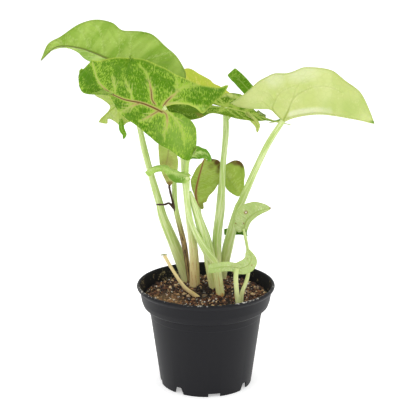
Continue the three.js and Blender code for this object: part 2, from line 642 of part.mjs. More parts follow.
// A point of the blade: along and out are millimetres along the midrib and away from it.
function bladePoint(blade, frames, half, along, out) {
  const handed = half === 0 ? 1 : -1;
  const width = blade.width[half];
  const lobe = blade.lobe[half];
  const { point, tangent, side, normal } = frameAt(frames, along / frames.length);
  const reach = along >= 0 ? along / frames.length : along / lobe;
  if (along < 0) {
    const bend = THREE.MathUtils.degToRad(blade.droop[half]) / lobe;
    const angle = -along * bend;
    const back = bend === 0 ? -along : Math.sin(angle) / bend;
    const down = bend === 0 ? 0 : (1 - Math.cos(angle)) / bend;
    point.addScaledVector(tangent, -back).addScaledVector(normal, -down);
    normal.multiplyScalar(Math.cos(angle)).addScaledVector(tangent, -Math.sin(angle));
  }
  const fold = THREE.MathUtils.degToRad(between([-1, 0, 0.5, 1], blade.fold[half], reach));
  const curl = THREE.MathUtils.degToRad(between([-1, 0, 1], blade.curl[half], reach)) / width;
  const turned = fold + curl * out;
  const flat = Math.abs(curl) < 1e-7;
  const outward = flat ? Math.cos(fold) * out : (Math.sin(turned) - Math.sin(fold)) / curl;
  const upward = flat ? Math.sin(fold) * out : (Math.cos(fold) - Math.cos(turned)) / curl;
  const turns = blade.waves * along / frames.length;
  const ripple = blade.wave * Math.min(out / width, 1.2) ** 2
    * Math.sin(2 * Math.PI * turns + blade.phase + HALF_PHASE * half);
  const place = point.clone().addScaledVector(side, handed * outward);
  place.addScaledVector(normal, upward);
  place.addScaledVector(normal, ripple * Math.cos(turned));
  return place.addScaledVector(side, -handed * ripple * Math.sin(turned));
}

// One half of the blade as a grid from the midrib out to the margin. Its rows run from the
// tip to the stalk, where they leave the midrib, and on round the lobe along the sinus.
function halfSheet(blade, frames, half) {
  const outline = OUTLINE[blade.outline[half]];
  const margin = curveThrough(outline.margin.map((share) => [...share, 0]));
  const sinus = curveThrough(outline.sinus.map((share) => [...share, 0]));
  const turnIndex = outline.margin.findIndex(([along]) => along <= 0.05);
  const turn = turnIndex / (outline.margin.length - 1);
  const { rows, columns } = blade;
  const turnRow = Math.round(RIB_ROWS * rows);
  const reach = (along) => (along >= 0 ? along * frames.length : along * blade.lobe[half]);
  const grid = new THREE.PlaneGeometry(1, 1, columns, rows);
  const spots = grid.attributes.position;
  for (let row = 0; row <= rows; row += 1) {
    const pastTurn = row > turnRow;
    const share = pastTurn ? (row - turnRow) / (rows - turnRow) : row / turnRow;
    const edge = margin.getPoint(pastTurn ? turn + (1 - turn) * share : turn * share);
    const inner = pastTurn ? sinus.getPoint(share) : new THREE.Vector3(1 - share, 0, 0);
    for (let column = 0; column <= columns; column += 1) {
      const out = column / columns;
      const along = THREE.MathUtils.lerp(reach(inner.x), reach(edge.x), out);
      const away = THREE.MathUtils.lerp(inner.y, edge.y, out) * blade.width[half];
      const place = bladePoint(blade, frames, half, along, Math.max(away, 0));
      spots.setXYZ(row * (columns + 1) + column, ...place);
    }
  }
  if (half === 0) grid.setIndex([...grid.index.array].reverse());
  return grid;
}

// A sheet and its copy set under it by its thickness, joined round all open edges.
function thicken(sheet, thicknessAt) {
  const top = weld(sheet);
  top.computeVertexNormals();
  const { position, normal } = top.attributes;
  const count = position.count;
  const corners = top.index.array;
  const places = [...position.array];
  const spot = new THREE.Vector3();
  const away = new THREE.Vector3();
  for (let i = 0; i < count; i += 1) {
    spot.fromBufferAttribute(position, i);
    away.fromBufferAttribute(normal, i);
    places.push(...spot.addScaledVector(away, -thicknessAt(spot)));
  }
  const faces = [...corners];
  const edges = new Map();
  for (let i = 0; i < corners.length; i += 3) {
    const [a, b, c] = [corners[i], corners[i + 1], corners[i + 2]];
    faces.push(count + a, count + c, count + b);
    for (const [from, to] of [[a, b], [b, c], [c, a]]) {
      if (!edges.delete(`${to} ${from}`)) edges.set(`${from} ${to}`, [from, to]);
    }
  }
  for (const [from, to] of edges.values()) {
    faces.push(from, count + from, count + to, from, count + to, to);
  }
  const geometry = new THREE.BufferGeometry();
  geometry.setAttribute('position', new THREE.Float32BufferAttribute(places, 3));
  geometry.setIndex(faces);
  return geometry;
}

// The blade is thickest on its midrib, which stands out under it as a keel.
function bladeSolid(blade, frames) {
  const halves = [halfSheet(blade, frames, 0), halfSheet(blade, frames, 1)];
  const keelWidth = Math.min(KEEL_WIDTH, KEEL_SHARE * Math.min(...blade.width));
  const keelDepth = KEEL_DEPTH * Math.min(1, Math.max(...blade.width) / FULL_HALF_WIDTH);
  const thicknessAt = (spot) => {
    let nearest = 0;
    let distance = Infinity;
    frames.points.forEach((point, i) => {
      if (spot.distanceTo(point) < distance) {
        nearest = i;
        distance = spot.distanceTo(point);
      }
    });
    const keel = Math.max(0, 1 - distance / keelWidth) * (1 - nearest / RIB_STEPS);
    return BLADE_THICKNESS + keelDepth * keel;
  };
  return solid(thicken(mergeGeometries(halves), thicknessAt));
}

function makePlantPart(plantPart) {
  const blades = plantPart.blades.map((given) => ({ ...BLADE_DEFAULTS, ...given }));
  const frames = blades.map(ribFrames);
  const { path, radii, root = ROOT_HEIGHT } = plantPart.stalk;
  const ends = [...path];
  if (blades.length > 0) {
    const { point, normal } = frameAt(frames[0], 0);
    ends.push(point.addScaledVector(normal, -BLADE_THICKNESS).toArray());
  }
  const stalkRadii = [radii[0], ...radii];
  stalkRadii.length = ends.length + 1;
  const tubes = [{ path: rootedPath(ends, root), radii: stalkRadii }];
  if (plantPart.sheath) {
    const sheath = plantPart.sheath;
    const sheathRadii = [sheath.radii[0], ...sheath.radii];
    tubes.push({ path: rootedPath(sheath.path, ROOT_HEIGHT), radii: sheathRadii });
  }
  tubes.push(...(plantPart.twigs ?? []));
  let whole = null;
  for (const tube of tubes) {
    const piece = solid(taperedTube(tube));
    whole = whole ? whole.add(piece) : piece;
  }
  blades.forEach((blade, i) => {
    whole = whole.add(bladeSolid(blade, frames[i]));
  });
  return whole.simplify(SLIVER);
}

// ---------------------------------------------------------------- potting soil

function soilHeight(x, y) {
  const away = Math.hypot(x - SOIL_CENTRE.x, y - SOIL_CENTRE.y);
  const mound = SOIL_MOUND * Math.exp(-((away / MOUND_SPREAD) ** 2));
  const [broad, cross, fine] = LUMP_WAVES.map(([alongX, alongY]) => (
    Math.sin(alongX * x + alongY * y)));
  return SOIL_EDGE_HEIGHT + mound + SOIL_CRUMB * (broad * cross + fine / 2);
}

// A plug that fills the pot, its top raised into a mound of lumps.
function soilPlug() {
  const clear = 1.4 * GAP; // measured level or upright, so that slopes keep their gap too
  const floorTop = FLOOR_RISE + FLOOR_THICKNESS + clear;
  const collarFoot = POT_HEIGHT - COLLAR_HEIGHT;
  const rim = COLLAR_FOOT_RADIUS + 1.8 - POT_WALL - clear;
  const profile = [
    [0, FLOOR_THICKNESS + clear],
    [PAD_RADIUS + 0.6, FLOOR_THICKNESS + clear],
    [RAMP_RADIUS + 0.6, floorTop],
    [innerRadius(floorTop) - clear, floorTop],
    [innerRadius(collarFoot) - clear, collarFoot - 0.6],
    [innerRadius(collarFoot) + 0.8 - clear, collarFoot + 1.6],
    [COLLAR_FOOT_RADIUS + 0.2 - POT_WALL - clear, collarFoot + 3],
    [rim, collarFoot + 6.2],
  ];
  for (let ring = 1; ring <= SOIL_RINGS; ring += 1) {
    profile.push([rim * (1 - ring / SOIL_RINGS), POT_HEIGHT]);
  }
  const plug = lathe(profile, POT_SIDES);
  const spots = plug.attributes.position;
  for (let i = 0; i < spots.count; i += 1) {
    if (spots.getZ(i) > POT_HEIGHT - 1) {
      spots.setZ(i, soilHeight(spots.getX(i), spots.getY(i)));
    }
  }
  return plug;
}

// Every stalk stands in a plain hole that follows it, a little wider and deeper.
function makeSoil() {
  let soil = solid(soilPlug());
  for (const plantPart of Object.values(PLANT)) {
    for (const { path, radii, root = ROOT_HEIGHT } of stalkTubes(plantPart)) {
      const bore = {
        path: rootedPath(path.slice(0, 3), root - GAP),
        radii: [radii[0], ...radii.slice(0, 3)],
        extra: GAP + 0.1,
      };
      soil = soil.subtract(solid(taperedTube(bore)));
    }
  }
  return soil;
}

// ---------------------------------------------------------------- the whole object

const plant = new THREE.Group();

function addPart(name, manifold, material) {
  const mesh = new THREE.Mesh(geometryOf(manifold), material);
  mesh.name = name;
  plant.add(mesh);
}

addPart('pot', makePot(), FINISH.pot);
addPart('soil', makeSoil(), FINISH.soil);
for (const [name, plantPart] of Object.entries(PLANT)) {
  addPart(name, makePlantPart(plantPart), FINISH[plantPart.finish]);
}

export default plant;
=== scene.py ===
# %% [markdown]
# # An arrowhead plant in its nursery pot
# This lesson dresses a plain solid model of a young arrowhead plant: a black moulded pot, bark
# potting mix, and a dozen leaves that each grew as one piece with their stalk. The solid model
# is loaded first and is never moved. Every piece made here stands exactly where its solid does,
# with finer edges, veins, crumbs and finishes. Sizes are written in millimetres, as a gardener
# would measure them, and are turned into Blender's metres when a mesh is made.

# %% Load the frame
import math

import bmesh
import bpy
import numpy as np
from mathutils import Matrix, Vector, kdtree


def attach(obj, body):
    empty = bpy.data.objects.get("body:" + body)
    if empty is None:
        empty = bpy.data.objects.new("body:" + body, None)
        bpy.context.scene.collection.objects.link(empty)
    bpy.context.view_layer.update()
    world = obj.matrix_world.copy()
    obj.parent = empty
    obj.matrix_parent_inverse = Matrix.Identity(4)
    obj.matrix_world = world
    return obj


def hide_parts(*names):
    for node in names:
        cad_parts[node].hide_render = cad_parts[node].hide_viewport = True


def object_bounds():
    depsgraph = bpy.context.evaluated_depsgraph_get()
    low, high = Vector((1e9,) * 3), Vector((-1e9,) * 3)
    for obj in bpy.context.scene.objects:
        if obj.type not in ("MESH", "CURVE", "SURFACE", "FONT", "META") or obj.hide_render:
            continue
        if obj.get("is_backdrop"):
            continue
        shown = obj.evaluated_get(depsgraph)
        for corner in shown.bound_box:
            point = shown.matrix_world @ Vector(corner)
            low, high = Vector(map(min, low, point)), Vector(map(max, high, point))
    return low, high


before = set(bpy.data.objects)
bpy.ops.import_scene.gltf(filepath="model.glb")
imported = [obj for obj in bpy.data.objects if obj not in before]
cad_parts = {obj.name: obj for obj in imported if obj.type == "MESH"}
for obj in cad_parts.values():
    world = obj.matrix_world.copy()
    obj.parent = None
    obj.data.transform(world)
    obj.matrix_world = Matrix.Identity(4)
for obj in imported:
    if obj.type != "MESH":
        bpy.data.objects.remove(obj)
cad_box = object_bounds()
MM = 0.001
print("nodes in the frame:", len(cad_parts))

# %% [markdown]
# ## Studio
# The plant stands on a plain pale floor in a bright, even room. A white world gives the soft
# light from all round, so that leaves show their colour and not their shadows, and large soft
# lamps give the satin pot and the leaf ribs a direction. The lens is long and the camera a
# little above the pot, looking down by about fifteen degrees.

# %% Camera
CAMERA_PLACE = (1.8, -900, 395)
CAMERA_PITCH = 15.2          # degrees below the horizon
CAMERA_LENS = 98.65          # on a 36 mm sensor

camera = bpy.data.objects.new("camera", bpy.data.cameras.new("camera"))
camera.data.lens = CAMERA_LENS
camera.data.sensor_width = 36
camera.location = [MM * value for value in CAMERA_PLACE]
camera.rotation_euler = (math.radians(90 - CAMERA_PITCH), 0, 0)
bpy.context.collection.objects.link(camera)
bpy.context.scene.camera = camera
bpy.context.scene.view_settings.view_transform = "Standard"
print("camera at", CAMERA_PLACE, "with a lens of", CAMERA_LENS, "mm")

# %% Lamps and world
LAMP_AIM = Vector((0, 0, 0.15))
LAMPS = {                    # place in metres, width in metres, power in watts
    "lamp_left": ((-0.9, -1.0, 1.2), 0.9, 5),
    "lamp_right": ((1.1, -0.6, 0.9), 0.9, 2.5),
    "lamp_top": ((0.0, 0.3, 1.5), 1.2, 5),
}
ROOM_LIGHT = 0.85            # strength of the white all round

for name, (place, size, power) in LAMPS.items():
    lamp = bpy.data.lights.new(name, "AREA")
    lamp.size = size
    lamp.energy = power
    holder = bpy.data.objects.new(name, lamp)
    holder.location = place
    holder.rotation_euler = (LAMP_AIM - Vector(place)).to_track_quat("-Z", "Y").to_euler()
    bpy.context.collection.objects.link(holder)

world = bpy.data.worlds.new("white room")
world.use_nodes = True
room = world.node_tree.nodes["Background"].inputs
room["Color"].default_value = (1, 1, 1, 1)
room["Strength"].default_value = ROOM_LIGHT
bpy.context.scene.world = world
print("lamps:", *LAMPS)

# %% [markdown]
# ## Writing materials in code
# A material is a small drawing of nodes. These helpers keep that drawing short: one adds a node
# and wires its inputs, and the others do arithmetic, mix two colours, or turn a value into a
# mask with soft edges. Colours are given as paint-chart values from 0 to 255. An effect that
# several finishes share becomes a node group with named inputs, built once.

# %% Node helpers
def paint(red, green, blue):
    """A chart colour as the linear light that the shader works in."""
    return (*[((part / 255 + 0.055) / 1.055) ** 2.4 for part in (red, green, blue)], 1)


def wire(tree, target, source):
    if isinstance(source, bpy.types.NodeSocket):
        tree.links.new(source, target)
    else:
        target.default_value = source


def add(tree, kind, inputs=None, **settings):
    made = tree.nodes.new(kind)
    for name, value in settings.items():
        setattr(made, name, value)
    for name, source in (inputs or {}).items():
        wire(tree, made.inputs[name], source)
    return made


def calc(tree, operation, first, second=0.0):
    inputs = {0: first, 1: second}
    return add(tree, "ShaderNodeMath", inputs, operation=operation).outputs[0]


def mixed(tree, factor, first, second):
    inputs = {0: factor, 6: first, 7: second}
    return add(tree, "ShaderNodeMix", inputs, data_type="RGBA").outputs[2]


def soft_step(tree, value, low, high):
    """0 below low, 1 above high, with a soft step between."""
    inputs = {"Value": value, "From Min": low, "From Max": high}
    return add(tree, "ShaderNodeMapRange", inputs, interpolation_type="SMOOTHSTEP").outputs[0]


def noise(tree, vector, scale, detail=2.0, roughness=0.5):
    inputs = {"Vector": vector, "Scale": scale, "Detail": detail, "Roughness": roughness}
    return add(tree, "ShaderNodeTexNoise", inputs).outputs["Fac"]


def attribute(tree, name, output="Fac"):
    return add(tree, "ShaderNodeAttribute", attribute_name=name).outputs[output]


print("a leaf green in linear light:", [round(part, 3) for part in paint(150, 190, 80)])

# %% Groups and materials
FLOAT, COLOUR, WHOLE = "NodeSocketFloat", "NodeSocketColor", "NodeSocketInt"
GEOMETRY, MATERIAL = "NodeSocketGeometry", "NodeSocketMaterial"


def new_tree(kind, name, inputs, outputs):
    """An empty node group with named sockets, from (label, kind, value) and (label, kind)."""
    tree = bpy.data.node_groups.new(name, kind)
    for label, socket_kind, value in inputs:
        socket = tree.interface.new_socket(label, in_out="INPUT", socket_type=socket_kind)
        if value is not None:
            socket.default_value = value
    for label, socket_kind in outputs:
        tree.interface.new_socket(label, in_out="OUTPUT", socket_type=socket_kind)
    given = tree.nodes.new("NodeGroupInput").outputs
    result = tree.nodes.new("NodeGroupOutput").inputs
    return tree, given, result


def place_group(tree, group, inputs):
    """A copy of a shader group in a material, with its inputs set: its outputs."""
    made = add(tree, "ShaderNodeGroup", node_tree=group)
    for name, source in inputs.items():
        wire(tree, made.inputs[name], source)
    return made.outputs


def new_material(name):
    """A material with its tree and its shader's inputs."""
    made = bpy.data.materials.new(name)
    made.use_nodes = True
    return made, made.node_tree, made.node_tree.nodes["Principled BSDF"].inputs


print("kinds of socket:", FLOAT, COLOUR, WHOLE, GEOMETRY, MATERIAL)

# %% [markdown]
# ## Floor
# The floor is one large square, painted nearly white. It also glows a little, so that it melts
# into the white room and the shadow under the pot stays faint.

# %% Floor
FLOOR_REACH = 6              # metres from the pot to each side
FLOOR_GLOW = 0.4             # lifts the floor to the white of the room
FLOOR_TURNS = ((-1, -1), (1, -1), (1, 1), (-1, 1))

floor_mesh = bpy.data.meshes.new("floor")
floor_corners = [(x * FLOOR_REACH, y * FLOOR_REACH, 0) for x, y in FLOOR_TURNS]
floor_mesh.from_pydata(floor_corners, [], [(0, 1, 2, 3)])
floor = bpy.data.objects.new("floor", floor_mesh)
bpy.context.collection.objects.link(floor)
floor_paint, _, floor_shader = new_material("pale floor")
floor_shader["Base Color"].default_value = paint(248, 248, 248)
floor_shader["Roughness"].default_value = 0.9
floor_shader["Emission Color"].default_value = (1, 1, 1, 1)
floor_shader["Emission Strength"].default_value = FLOOR_GLOW
floor_mesh.materials.append(floor_paint)
floor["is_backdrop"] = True
print("floor:", 2 * FLOOR_REACH, "m wide")

# %% [markdown]
# ## Leaf colour
# An arrowhead leaf is not one green. Its upper side is dark and closely flecked with pale dots
# that run along the side veins, its veins are pinkish brown near the stalk, and its margin is
# paler. Its underside is a milky green with faint broad bands where the dark fields of the upper
# side show through. Every pattern follows the leaf: a blade's mesh carries the place of each
# point along and away from the midrib, in millimetres, and how near it is to a vein, to the
# margin and to a dried scar. Four groups turn these into masks and lay one tint over another.

# %% Flecks
FIELD_WEIGHT = 0.42          # how strongly the flecks gather in fields
NO_FLECKS = 0.95             # the noise stays below this, so no cover means no flecks
FLECK_EDGE = 0.11            # how softly a fleck ends

flecks, given, result = new_tree(
    "ShaderNodeTree", "leaf flecks",
    [("Size", FLOAT, 1.0), ("Stretch", FLOAT, 0.5), ("Cover", FLOAT, 0.5), ("Fields", FLOAT, 0.1)],
    [("Mask", FLOAT)])
place = attribute(flecks, "leaf_place", "Vector")
stretched = add(flecks, "ShaderNodeCombineXYZ", {"X": given["Size"], "Z": given["Size"]})
wire(flecks, stretched.inputs["Y"], calc(flecks, "MULTIPLY", given["Size"], given["Stretch"]))
fleck_place = add(flecks, "ShaderNodeVectorMath", {0: place, 1: stretched.outputs[0]},
                  operation="MULTIPLY").outputs[0]
fine = noise(flecks, fleck_place, 1.0, detail=3, roughness=0.6)
field = calc(flecks, "SUBTRACT", noise(flecks, place, given["Fields"], detail=1), 0.5)
level = calc(flecks, "ADD", fine, calc(flecks, "MULTIPLY", field, FIELD_WEIGHT))
low = calc(flecks, "SUBTRACT", NO_FLECKS, given["Cover"])
high = calc(flecks, "ADD", low, FLECK_EDGE)
wire(flecks, result["Mask"], soft_step(flecks, level, low, high))
print("group:", flecks.name, "with", len(flecks.nodes), "nodes")

# %% Bands
bands, given, result = new_tree(
    "ShaderNodeTree", "leaf bands",
    [("Along", FLOAT, 0.08), ("Across", FLOAT, 0.02), ("Softness", FLOAT, 0.15)],
    [("Mask", FLOAT)])
place = attribute(bands, "leaf_place", "Vector")
pitch = add(bands, "ShaderNodeCombineXYZ", {"X": given["Along"], "Y": given["Across"]})
band_place = add(bands, "ShaderNodeVectorMath", {0: place, 1: pitch.outputs[0]},
                 operation="MULTIPLY").outputs[0]
wave = noise(bands, band_place, 1.0, detail=2, roughness=0.4)
low = calc(bands, "SUBTRACT", 0.5, given["Softness"])
high = calc(bands, "ADD", 0.5, given["Softness"])
wire(bands, result["Mask"], soft_step(bands, wave, low, high))
print("group:", bands.name, "with", len(bands.nodes), "nodes")

# %% Net of fine veins, and a tint
net, given, result = new_tree(
    "ShaderNodeTree", "leaf net", [("Mesh", FLOAT, 0.3), ("Line", FLOAT, 0.1)], [("Mask", FLOAT)])
place = attribute(net, "leaf_place", "Vector")
cells = add(net, "ShaderNodeTexVoronoi", {"Vector": place, "Scale": given["Mesh"]},
            feature="DISTANCE_TO_EDGE").outputs["Distance"]
line = soft_step(net, cells, 0.0, given["Line"])
wire(net, result["Mask"], calc(net, "SUBTRACT", 1.0, line))

tint, given, result = new_tree(
    "ShaderNodeTree", "tint by attribute",
    [("Colour", COLOUR, (1, 1, 1, 1)), ("Tint", COLOUR, (0, 0, 0, 1)), ("Mask", FLOAT, 0.0),
     ("Amount", FLOAT, 1.0)],
    [("Colour", COLOUR)])
share = calc(tint, "MULTIPLY", given["Mask"], given["Amount"])
wire(tint, result["Colour"], mixed(tint, share, given["Colour"], given["Tint"]))
print("groups:", net.name, "and", tint.name)

# %% [markdown]
# ## A leaf's two sides
# A finish starts from a ground colour and lays tints over it, one mask after another: the broad
# bands first, then pale fields beside the veins, pale spots that are partly painted sheen, the
# flecks, the margin, darker patches of painted shade, the veins and the midrib, and the dried
# scars last, so that each covers what lies under it. The same function serves every leaf and
# both of its sides, because only the chart colours and the amounts differ. A little subsurface
# light makes the blade look thin and full of sap.

# %% Leaf finish
FLECK_SIZE, FLECK_STRETCH, FIELD_SIZE = 1.05, 0.3, 0.09
HALO_FLECKS = 0.16           # more flecks in the pale field beside a vein
NET_MESH, NET_LINE = 0.22, 0.12
# Painted shade: the darker patches are shadow painted on the blade.
FLECKS_OVER_SHADE = 0.6      # how far the flecks show through a darker patch


def leaf_finish(name, ground, band, fleck, vein, margin, cover=0.5, band_amount=0.5,
                fleck_amount=0.85, halo_amount=0.0, margin_amount=0.5, vein_amount=0.8, rib=None,
                flank=None, scar=(105, 70, 35), painted_shade=(52, 88, 8), pale=(176, 200, 116),
                gloss=0.5, glow=0.12, band_pitch=(0.07, 0.012)):
    """One side of a leaf, from its chart colours."""
    made, tree, shader = new_material(name)
    colour = paint(*ground)
    pitch = {"Along": band_pitch[0], "Across": band_pitch[1]}
    bands_mask = place_group(tree, bands, pitch)["Mask"]
    halo = attribute(tree, "halo")
    near_veins = calc(tree, "ADD", cover, calc(tree, "MULTIPLY", halo, HALO_FLECKS))
    fleck_mask = place_group(tree, flecks, {
        "Size": FLECK_SIZE, "Stretch": FLECK_STRETCH, "Cover": near_veins, "Fields": FIELD_SIZE,
    })["Mask"]
    net_mask = place_group(tree, net, {"Mesh": NET_MESH, "Line": NET_LINE})["Mask"]
    midrib = attribute(tree, "midrib")
    # The darker patches are painted shade, and the flecks show a little through them.
    flecks_through = calc(tree, "MULTIPLY", fleck_mask, fleck_amount * FLECKS_OVER_SHADE)
    painted_shade_mask = calc(tree, "MULTIPLY", attribute(tree, "painted_shade"),
                      calc(tree, "SUBTRACT", 1.0, flecks_through))
    layers = [               # tint, mask, amount
        (band, bands_mask, band_amount),
        (fleck, halo, halo_amount),
        # pale spots: partly painted sheen and light, partly the pale underside of a rolled edge
        (pale, attribute(tree, "pale"), 0.9),
        (fleck, fleck_mask, fleck_amount),
        (vein, net_mask, 0.1),
        (margin, attribute(tree, "margin"), margin_amount),
        # painted shade: darker patches where the blade lies in shadow
        (painted_shade, painted_shade_mask, 0.9),
        (vein, attribute(tree, "vein"), vein_amount),
        (flank or vein, soft_step(tree, midrib, 0.02, 0.5), 0.75),
        (rib or vein, soft_step(tree, midrib, 0.45, 1.0), 0.95),
        (scar, attribute(tree, "scar"), 0.95),
    ]
    for chart, where, amount in layers:
        inputs = {"Colour": colour, "Tint": paint(*chart), "Mask": where, "Amount": amount}
        colour = place_group(tree, tint, inputs)["Colour"]
    wire(tree, shader["Base Color"], colour)
    shader["Roughness"].default_value = gloss
    shader["Specular IOR Level"].default_value = 0.1
    shader["Subsurface Weight"].default_value = glow
    shader["Subsurface Radius"].default_value = (0.6, 1.0, 0.2)
    shader["Subsurface Scale"].default_value = 1.2 * MM
    grain = noise(tree, attribute(tree, "leaf_place", "Vector"), 1.6, detail=3)
    relief = calc(tree, "ADD", calc(tree, "MULTIPLY", net_mask, -0.5), grain)
    bump = add(tree, "ShaderNodeBump", {"Strength": 0.35, "Distance": 0.25 * MM, "Height": relief})
    wire(tree, shader["Normal"], bump.outputs["Normal"])
    return made


fleck_width = 1 / FLECK_SIZE
print("flecks:", round(fleck_width, 2), "by", round(fleck_width / FLECK_STRETCH, 2), "mm")

# %% Finishes of the large leaves
LEAF_FINISH = {
    "dark_top": leaf_finish("speckled green", (76, 124, 0), (92, 140, 4), (160, 192, 66),
                            (182, 188, 108), (186, 202, 84), cover=0.44, fleck_amount=0.75,
                            vein_amount=0.7, halo_amount=0.14, margin_amount=0.65,
                            rib=(92, 58, 20), flank=(178, 156, 98), pale=(160, 192, 88),
                            painted_shade=(70, 114, 0)),
    "deep_top": leaf_finish("deep green", (70, 116, 10), (90, 140, 20), (124, 164, 50),
                            (130, 166, 60), (104, 146, 30), cover=0.4, vein_amount=0.3),
    "mottled_top": leaf_finish("mottled green", (78, 118, 2), (98, 136, 12), (160, 184, 76),
                               (166, 182, 88), (120, 140, 40), cover=0.42, vein_amount=0.4,
                               painted_shade=(96, 130, 8), pale=(196, 206, 118), scar=(150, 118, 62),
                               gloss=0.85),
    "pale_under": leaf_finish("milky underside", (164, 190, 88), (120, 158, 40),
                              (186, 206, 120), (112, 142, 44), (118, 140, 48), cover=0.36,
                              band_amount=0.8, fleck_amount=0.45, margin_amount=0.5,
                              vein_amount=0.3, rib=(104, 112, 48), glow=0.2,
                              band_pitch=(0.1, 0.016)),
    "light_under": leaf_finish("pale underside", (200, 208, 138), (180, 194, 106),
                               (212, 216, 156), (150, 166, 74), (150, 164, 80), cover=0.34,
                               fleck_amount=0.45, margin_amount=0.5, vein_amount=0.65,
                               rib=(140, 156, 74), pale=(224, 226, 192), scar=(92, 138, 34),
                               painted_shade=(168, 188, 98), glow=0.2),
}
print("large leaves' finishes:", *LEAF_FINISH)

# %% Finishes of the smaller leaves
LEAF_FINISH |= {
    "yellow_top": leaf_finish("yellowing", (186, 194, 66), (160, 184, 56), (206, 208, 96),
                              (180, 180, 80), (196, 184, 90), cover=0.35),
    "fresh_top": leaf_finish("fresh green", (104, 152, 26), (84, 134, 16), (150, 186, 74),
                             (150, 180, 80), (140, 170, 60), cover=0.42),
    "arc_top": leaf_finish("light young green", (166, 198, 98), (146, 184, 70), (186, 210, 124),
                           (186, 206, 124), (170, 180, 90), cover=0.42, painted_shade=(84, 134, 20)),
    "young_under": leaf_finish("young underside", (168, 188, 86), (144, 172, 62),
                               (184, 202, 112), (140, 156, 66), (150, 150, 70), cover=0.4,
                               fleck_amount=0.6, vein_amount=0.25, rib=(140, 84, 56),
                               flank=(170, 146, 90), scar=(92, 60, 30), glow=0.2),
    "torn_pale": leaf_finish("torn pale", (188, 202, 122), (172, 192, 66), (200, 210, 136),
                             (160, 176, 80), (160, 170, 70), cover=0.35, glow=0.2),
    "seedling": leaf_finish("seedling green", (176, 194, 124), (160, 182, 100),
                            (194, 206, 150), (150, 170, 90), (150, 166, 90), cover=0.4,
                            scar=(134, 92, 50), painted_shade=(70, 110, 24), glow=0.2),
    "withered": leaf_finish("withered", (180, 196, 104), (166, 178, 88), (192, 204, 122),
                            (150, 150, 80), (160, 164, 84), cover=0.4,
                            rib=(176, 180, 106), scar=(128, 96, 58), glow=0.2),
}
print("all leaf finishes:", len(LEAF_FINISH))

# %% [markdown]
# ## The leaf as a sheet
# A leaf blade is a thin sheet hung on its midrib. The midrib is a smooth curve through a few
# placed points. To each side of it the blade folds up or down by an angle, curls further out to
# its margin, bends down in its basal lobe, and ripples. The outline is given in shares of the
# blade's length and half-width, so one outline serves leaves of any size. Building the sheet
# point by point keeps it on the solid leaf that it stands for, which bends by the same rule.

# %% Curves and directions
RIB_STEPS = 96
LEAN_FROM = 0.35             # side directions turn half-way to the one at this share


def through(points, shares):
    """Places at these shares of the way along a smooth curve through the points."""
    points = np.asarray(points, float)
    before, after = 2 * points[0] - points[1], 2 * points[-1] - points[-2]
    knots = np.vstack([before, points, after])
    spot = np.clip(np.asarray(shares, float), 0, 1) * (len(points) - 1)
    index = np.minimum(spot.astype(int), len(points) - 2)
    t = (spot - index)[:, None]
    a, b, c, d = (knots[index + k] for k in range(4))
    return 0.5 * (2 * b + (c - a) * t + (2 * a - 5 * b + 4 * c - d) * t ** 2
                  + (3 * b - 3 * c + d - a) * t ** 3)


def unit(vectors):
    return vectors / np.linalg.norm(vectors, axis=-1, keepdims=True)


def turned(vector, axis, degrees):
    angle = math.radians(degrees)
    return (vector * math.cos(angle) + np.cross(axis, vector) * math.sin(angle)
            + axis * (axis @ vector) * (1 - math.cos(angle)))


def rib_frames(blade):
    """The midrib's points, tangents and side directions, from the stalk to the tip."""
    fine = through(blade["rib"], np.linspace(0, 1, 241))
    way = np.concatenate([[0], np.cumsum(np.linalg.norm(np.diff(fine, axis=0), axis=1))])
    stations = np.linspace(0, way[-1], RIB_STEPS + 1)
    points = np.stack([np.interp(stations, way, fine[:, axis]) for axis in range(3)], 1)
    tangents = unit(np.gradient(points, axis=0))
    up = np.array(blade["up"], float)
    normal = unit(up - (up @ tangents[0]) * tangents[0])
    normals = [turned(normal, tangents[0], blade["roll"])]
    for tangent in tangents[1:]:
        normals.append(unit(normals[-1] - (normals[-1] @ tangent) * tangent))
    across = np.cross(normals, tangents)
    sides = unit(across + across[int(LEAN_FROM * RIB_STEPS)])
    return {"length": way[-1], "points": points, "tangents": tangents, "sides": sides}


print("a straight curve's middle:", through([[0, 0, 0], [0, 0, 2]], [0.5])[0])


# %% A point of the blade
HALF_PHASE = 1.7             # the two halves of a blade ripple out of step, in radians


def blade_points(blade, frames, half, along, out):
    """Places for arrays of millimetres along the midrib and away from it."""
    handed = 1 if half == 0 else -1
    length, width, lobe = frames["length"], blade["width"][half], blade["lobe"][half]
    spot = np.clip(along / length, 0, 1) * RIB_STEPS
    index = np.minimum(spot.astype(int), RIB_STEPS - 1)
    share = (spot - index)[:, None]
    point, tangent, side = (
        values[index] * (1 - share) + values[index + 1] * share
        for values in (frames["points"], frames["tangents"], frames["sides"]))
    tangent, side = unit(tangent), unit(side)
    normal = unit(np.cross(tangent, side))
    back = np.maximum(-along, 0)[:, None]
    bend = math.radians(blade["droop"][half] or 1e-6) / lobe
    point = point - tangent * np.sin(bend * back) / bend
    point = point - normal * (1 - np.cos(bend * back)) / bend
    normal = normal * np.cos(bend * back) - tangent * np.sin(bend * back)
    reach = np.where(along >= 0, along / length, along / lobe)
    fold = np.radians(np.interp(reach, [-1, 0, 0.5, 1], blade["fold"][half]))
    curl = np.radians(np.interp(reach, [-1, 0, 1], blade["curl"][half])) / width
    curl = np.where(np.abs(curl) < 1e-7, 1e-7, curl)
    slope = fold + curl * out
    outward = (np.sin(slope) - np.sin(fold)) / curl
    upward = (np.cos(fold) - np.cos(slope)) / curl
    turns = blade["waves"] * along / length
    ripple = (blade["wave"] * np.minimum(out / width, 1.2) ** 2
              * np.sin(2 * np.pi * turns + blade["phase"] + HALF_PHASE * half))
    outward = outward - ripple * np.sin(slope)
    upward = upward + ripple * np.cos(slope)
    return point + side * (handed * outward)[:, None] + normal * upward[:, None]


print("the halves ripple", round(math.degrees(HALF_PHASE)), "degrees out of step")

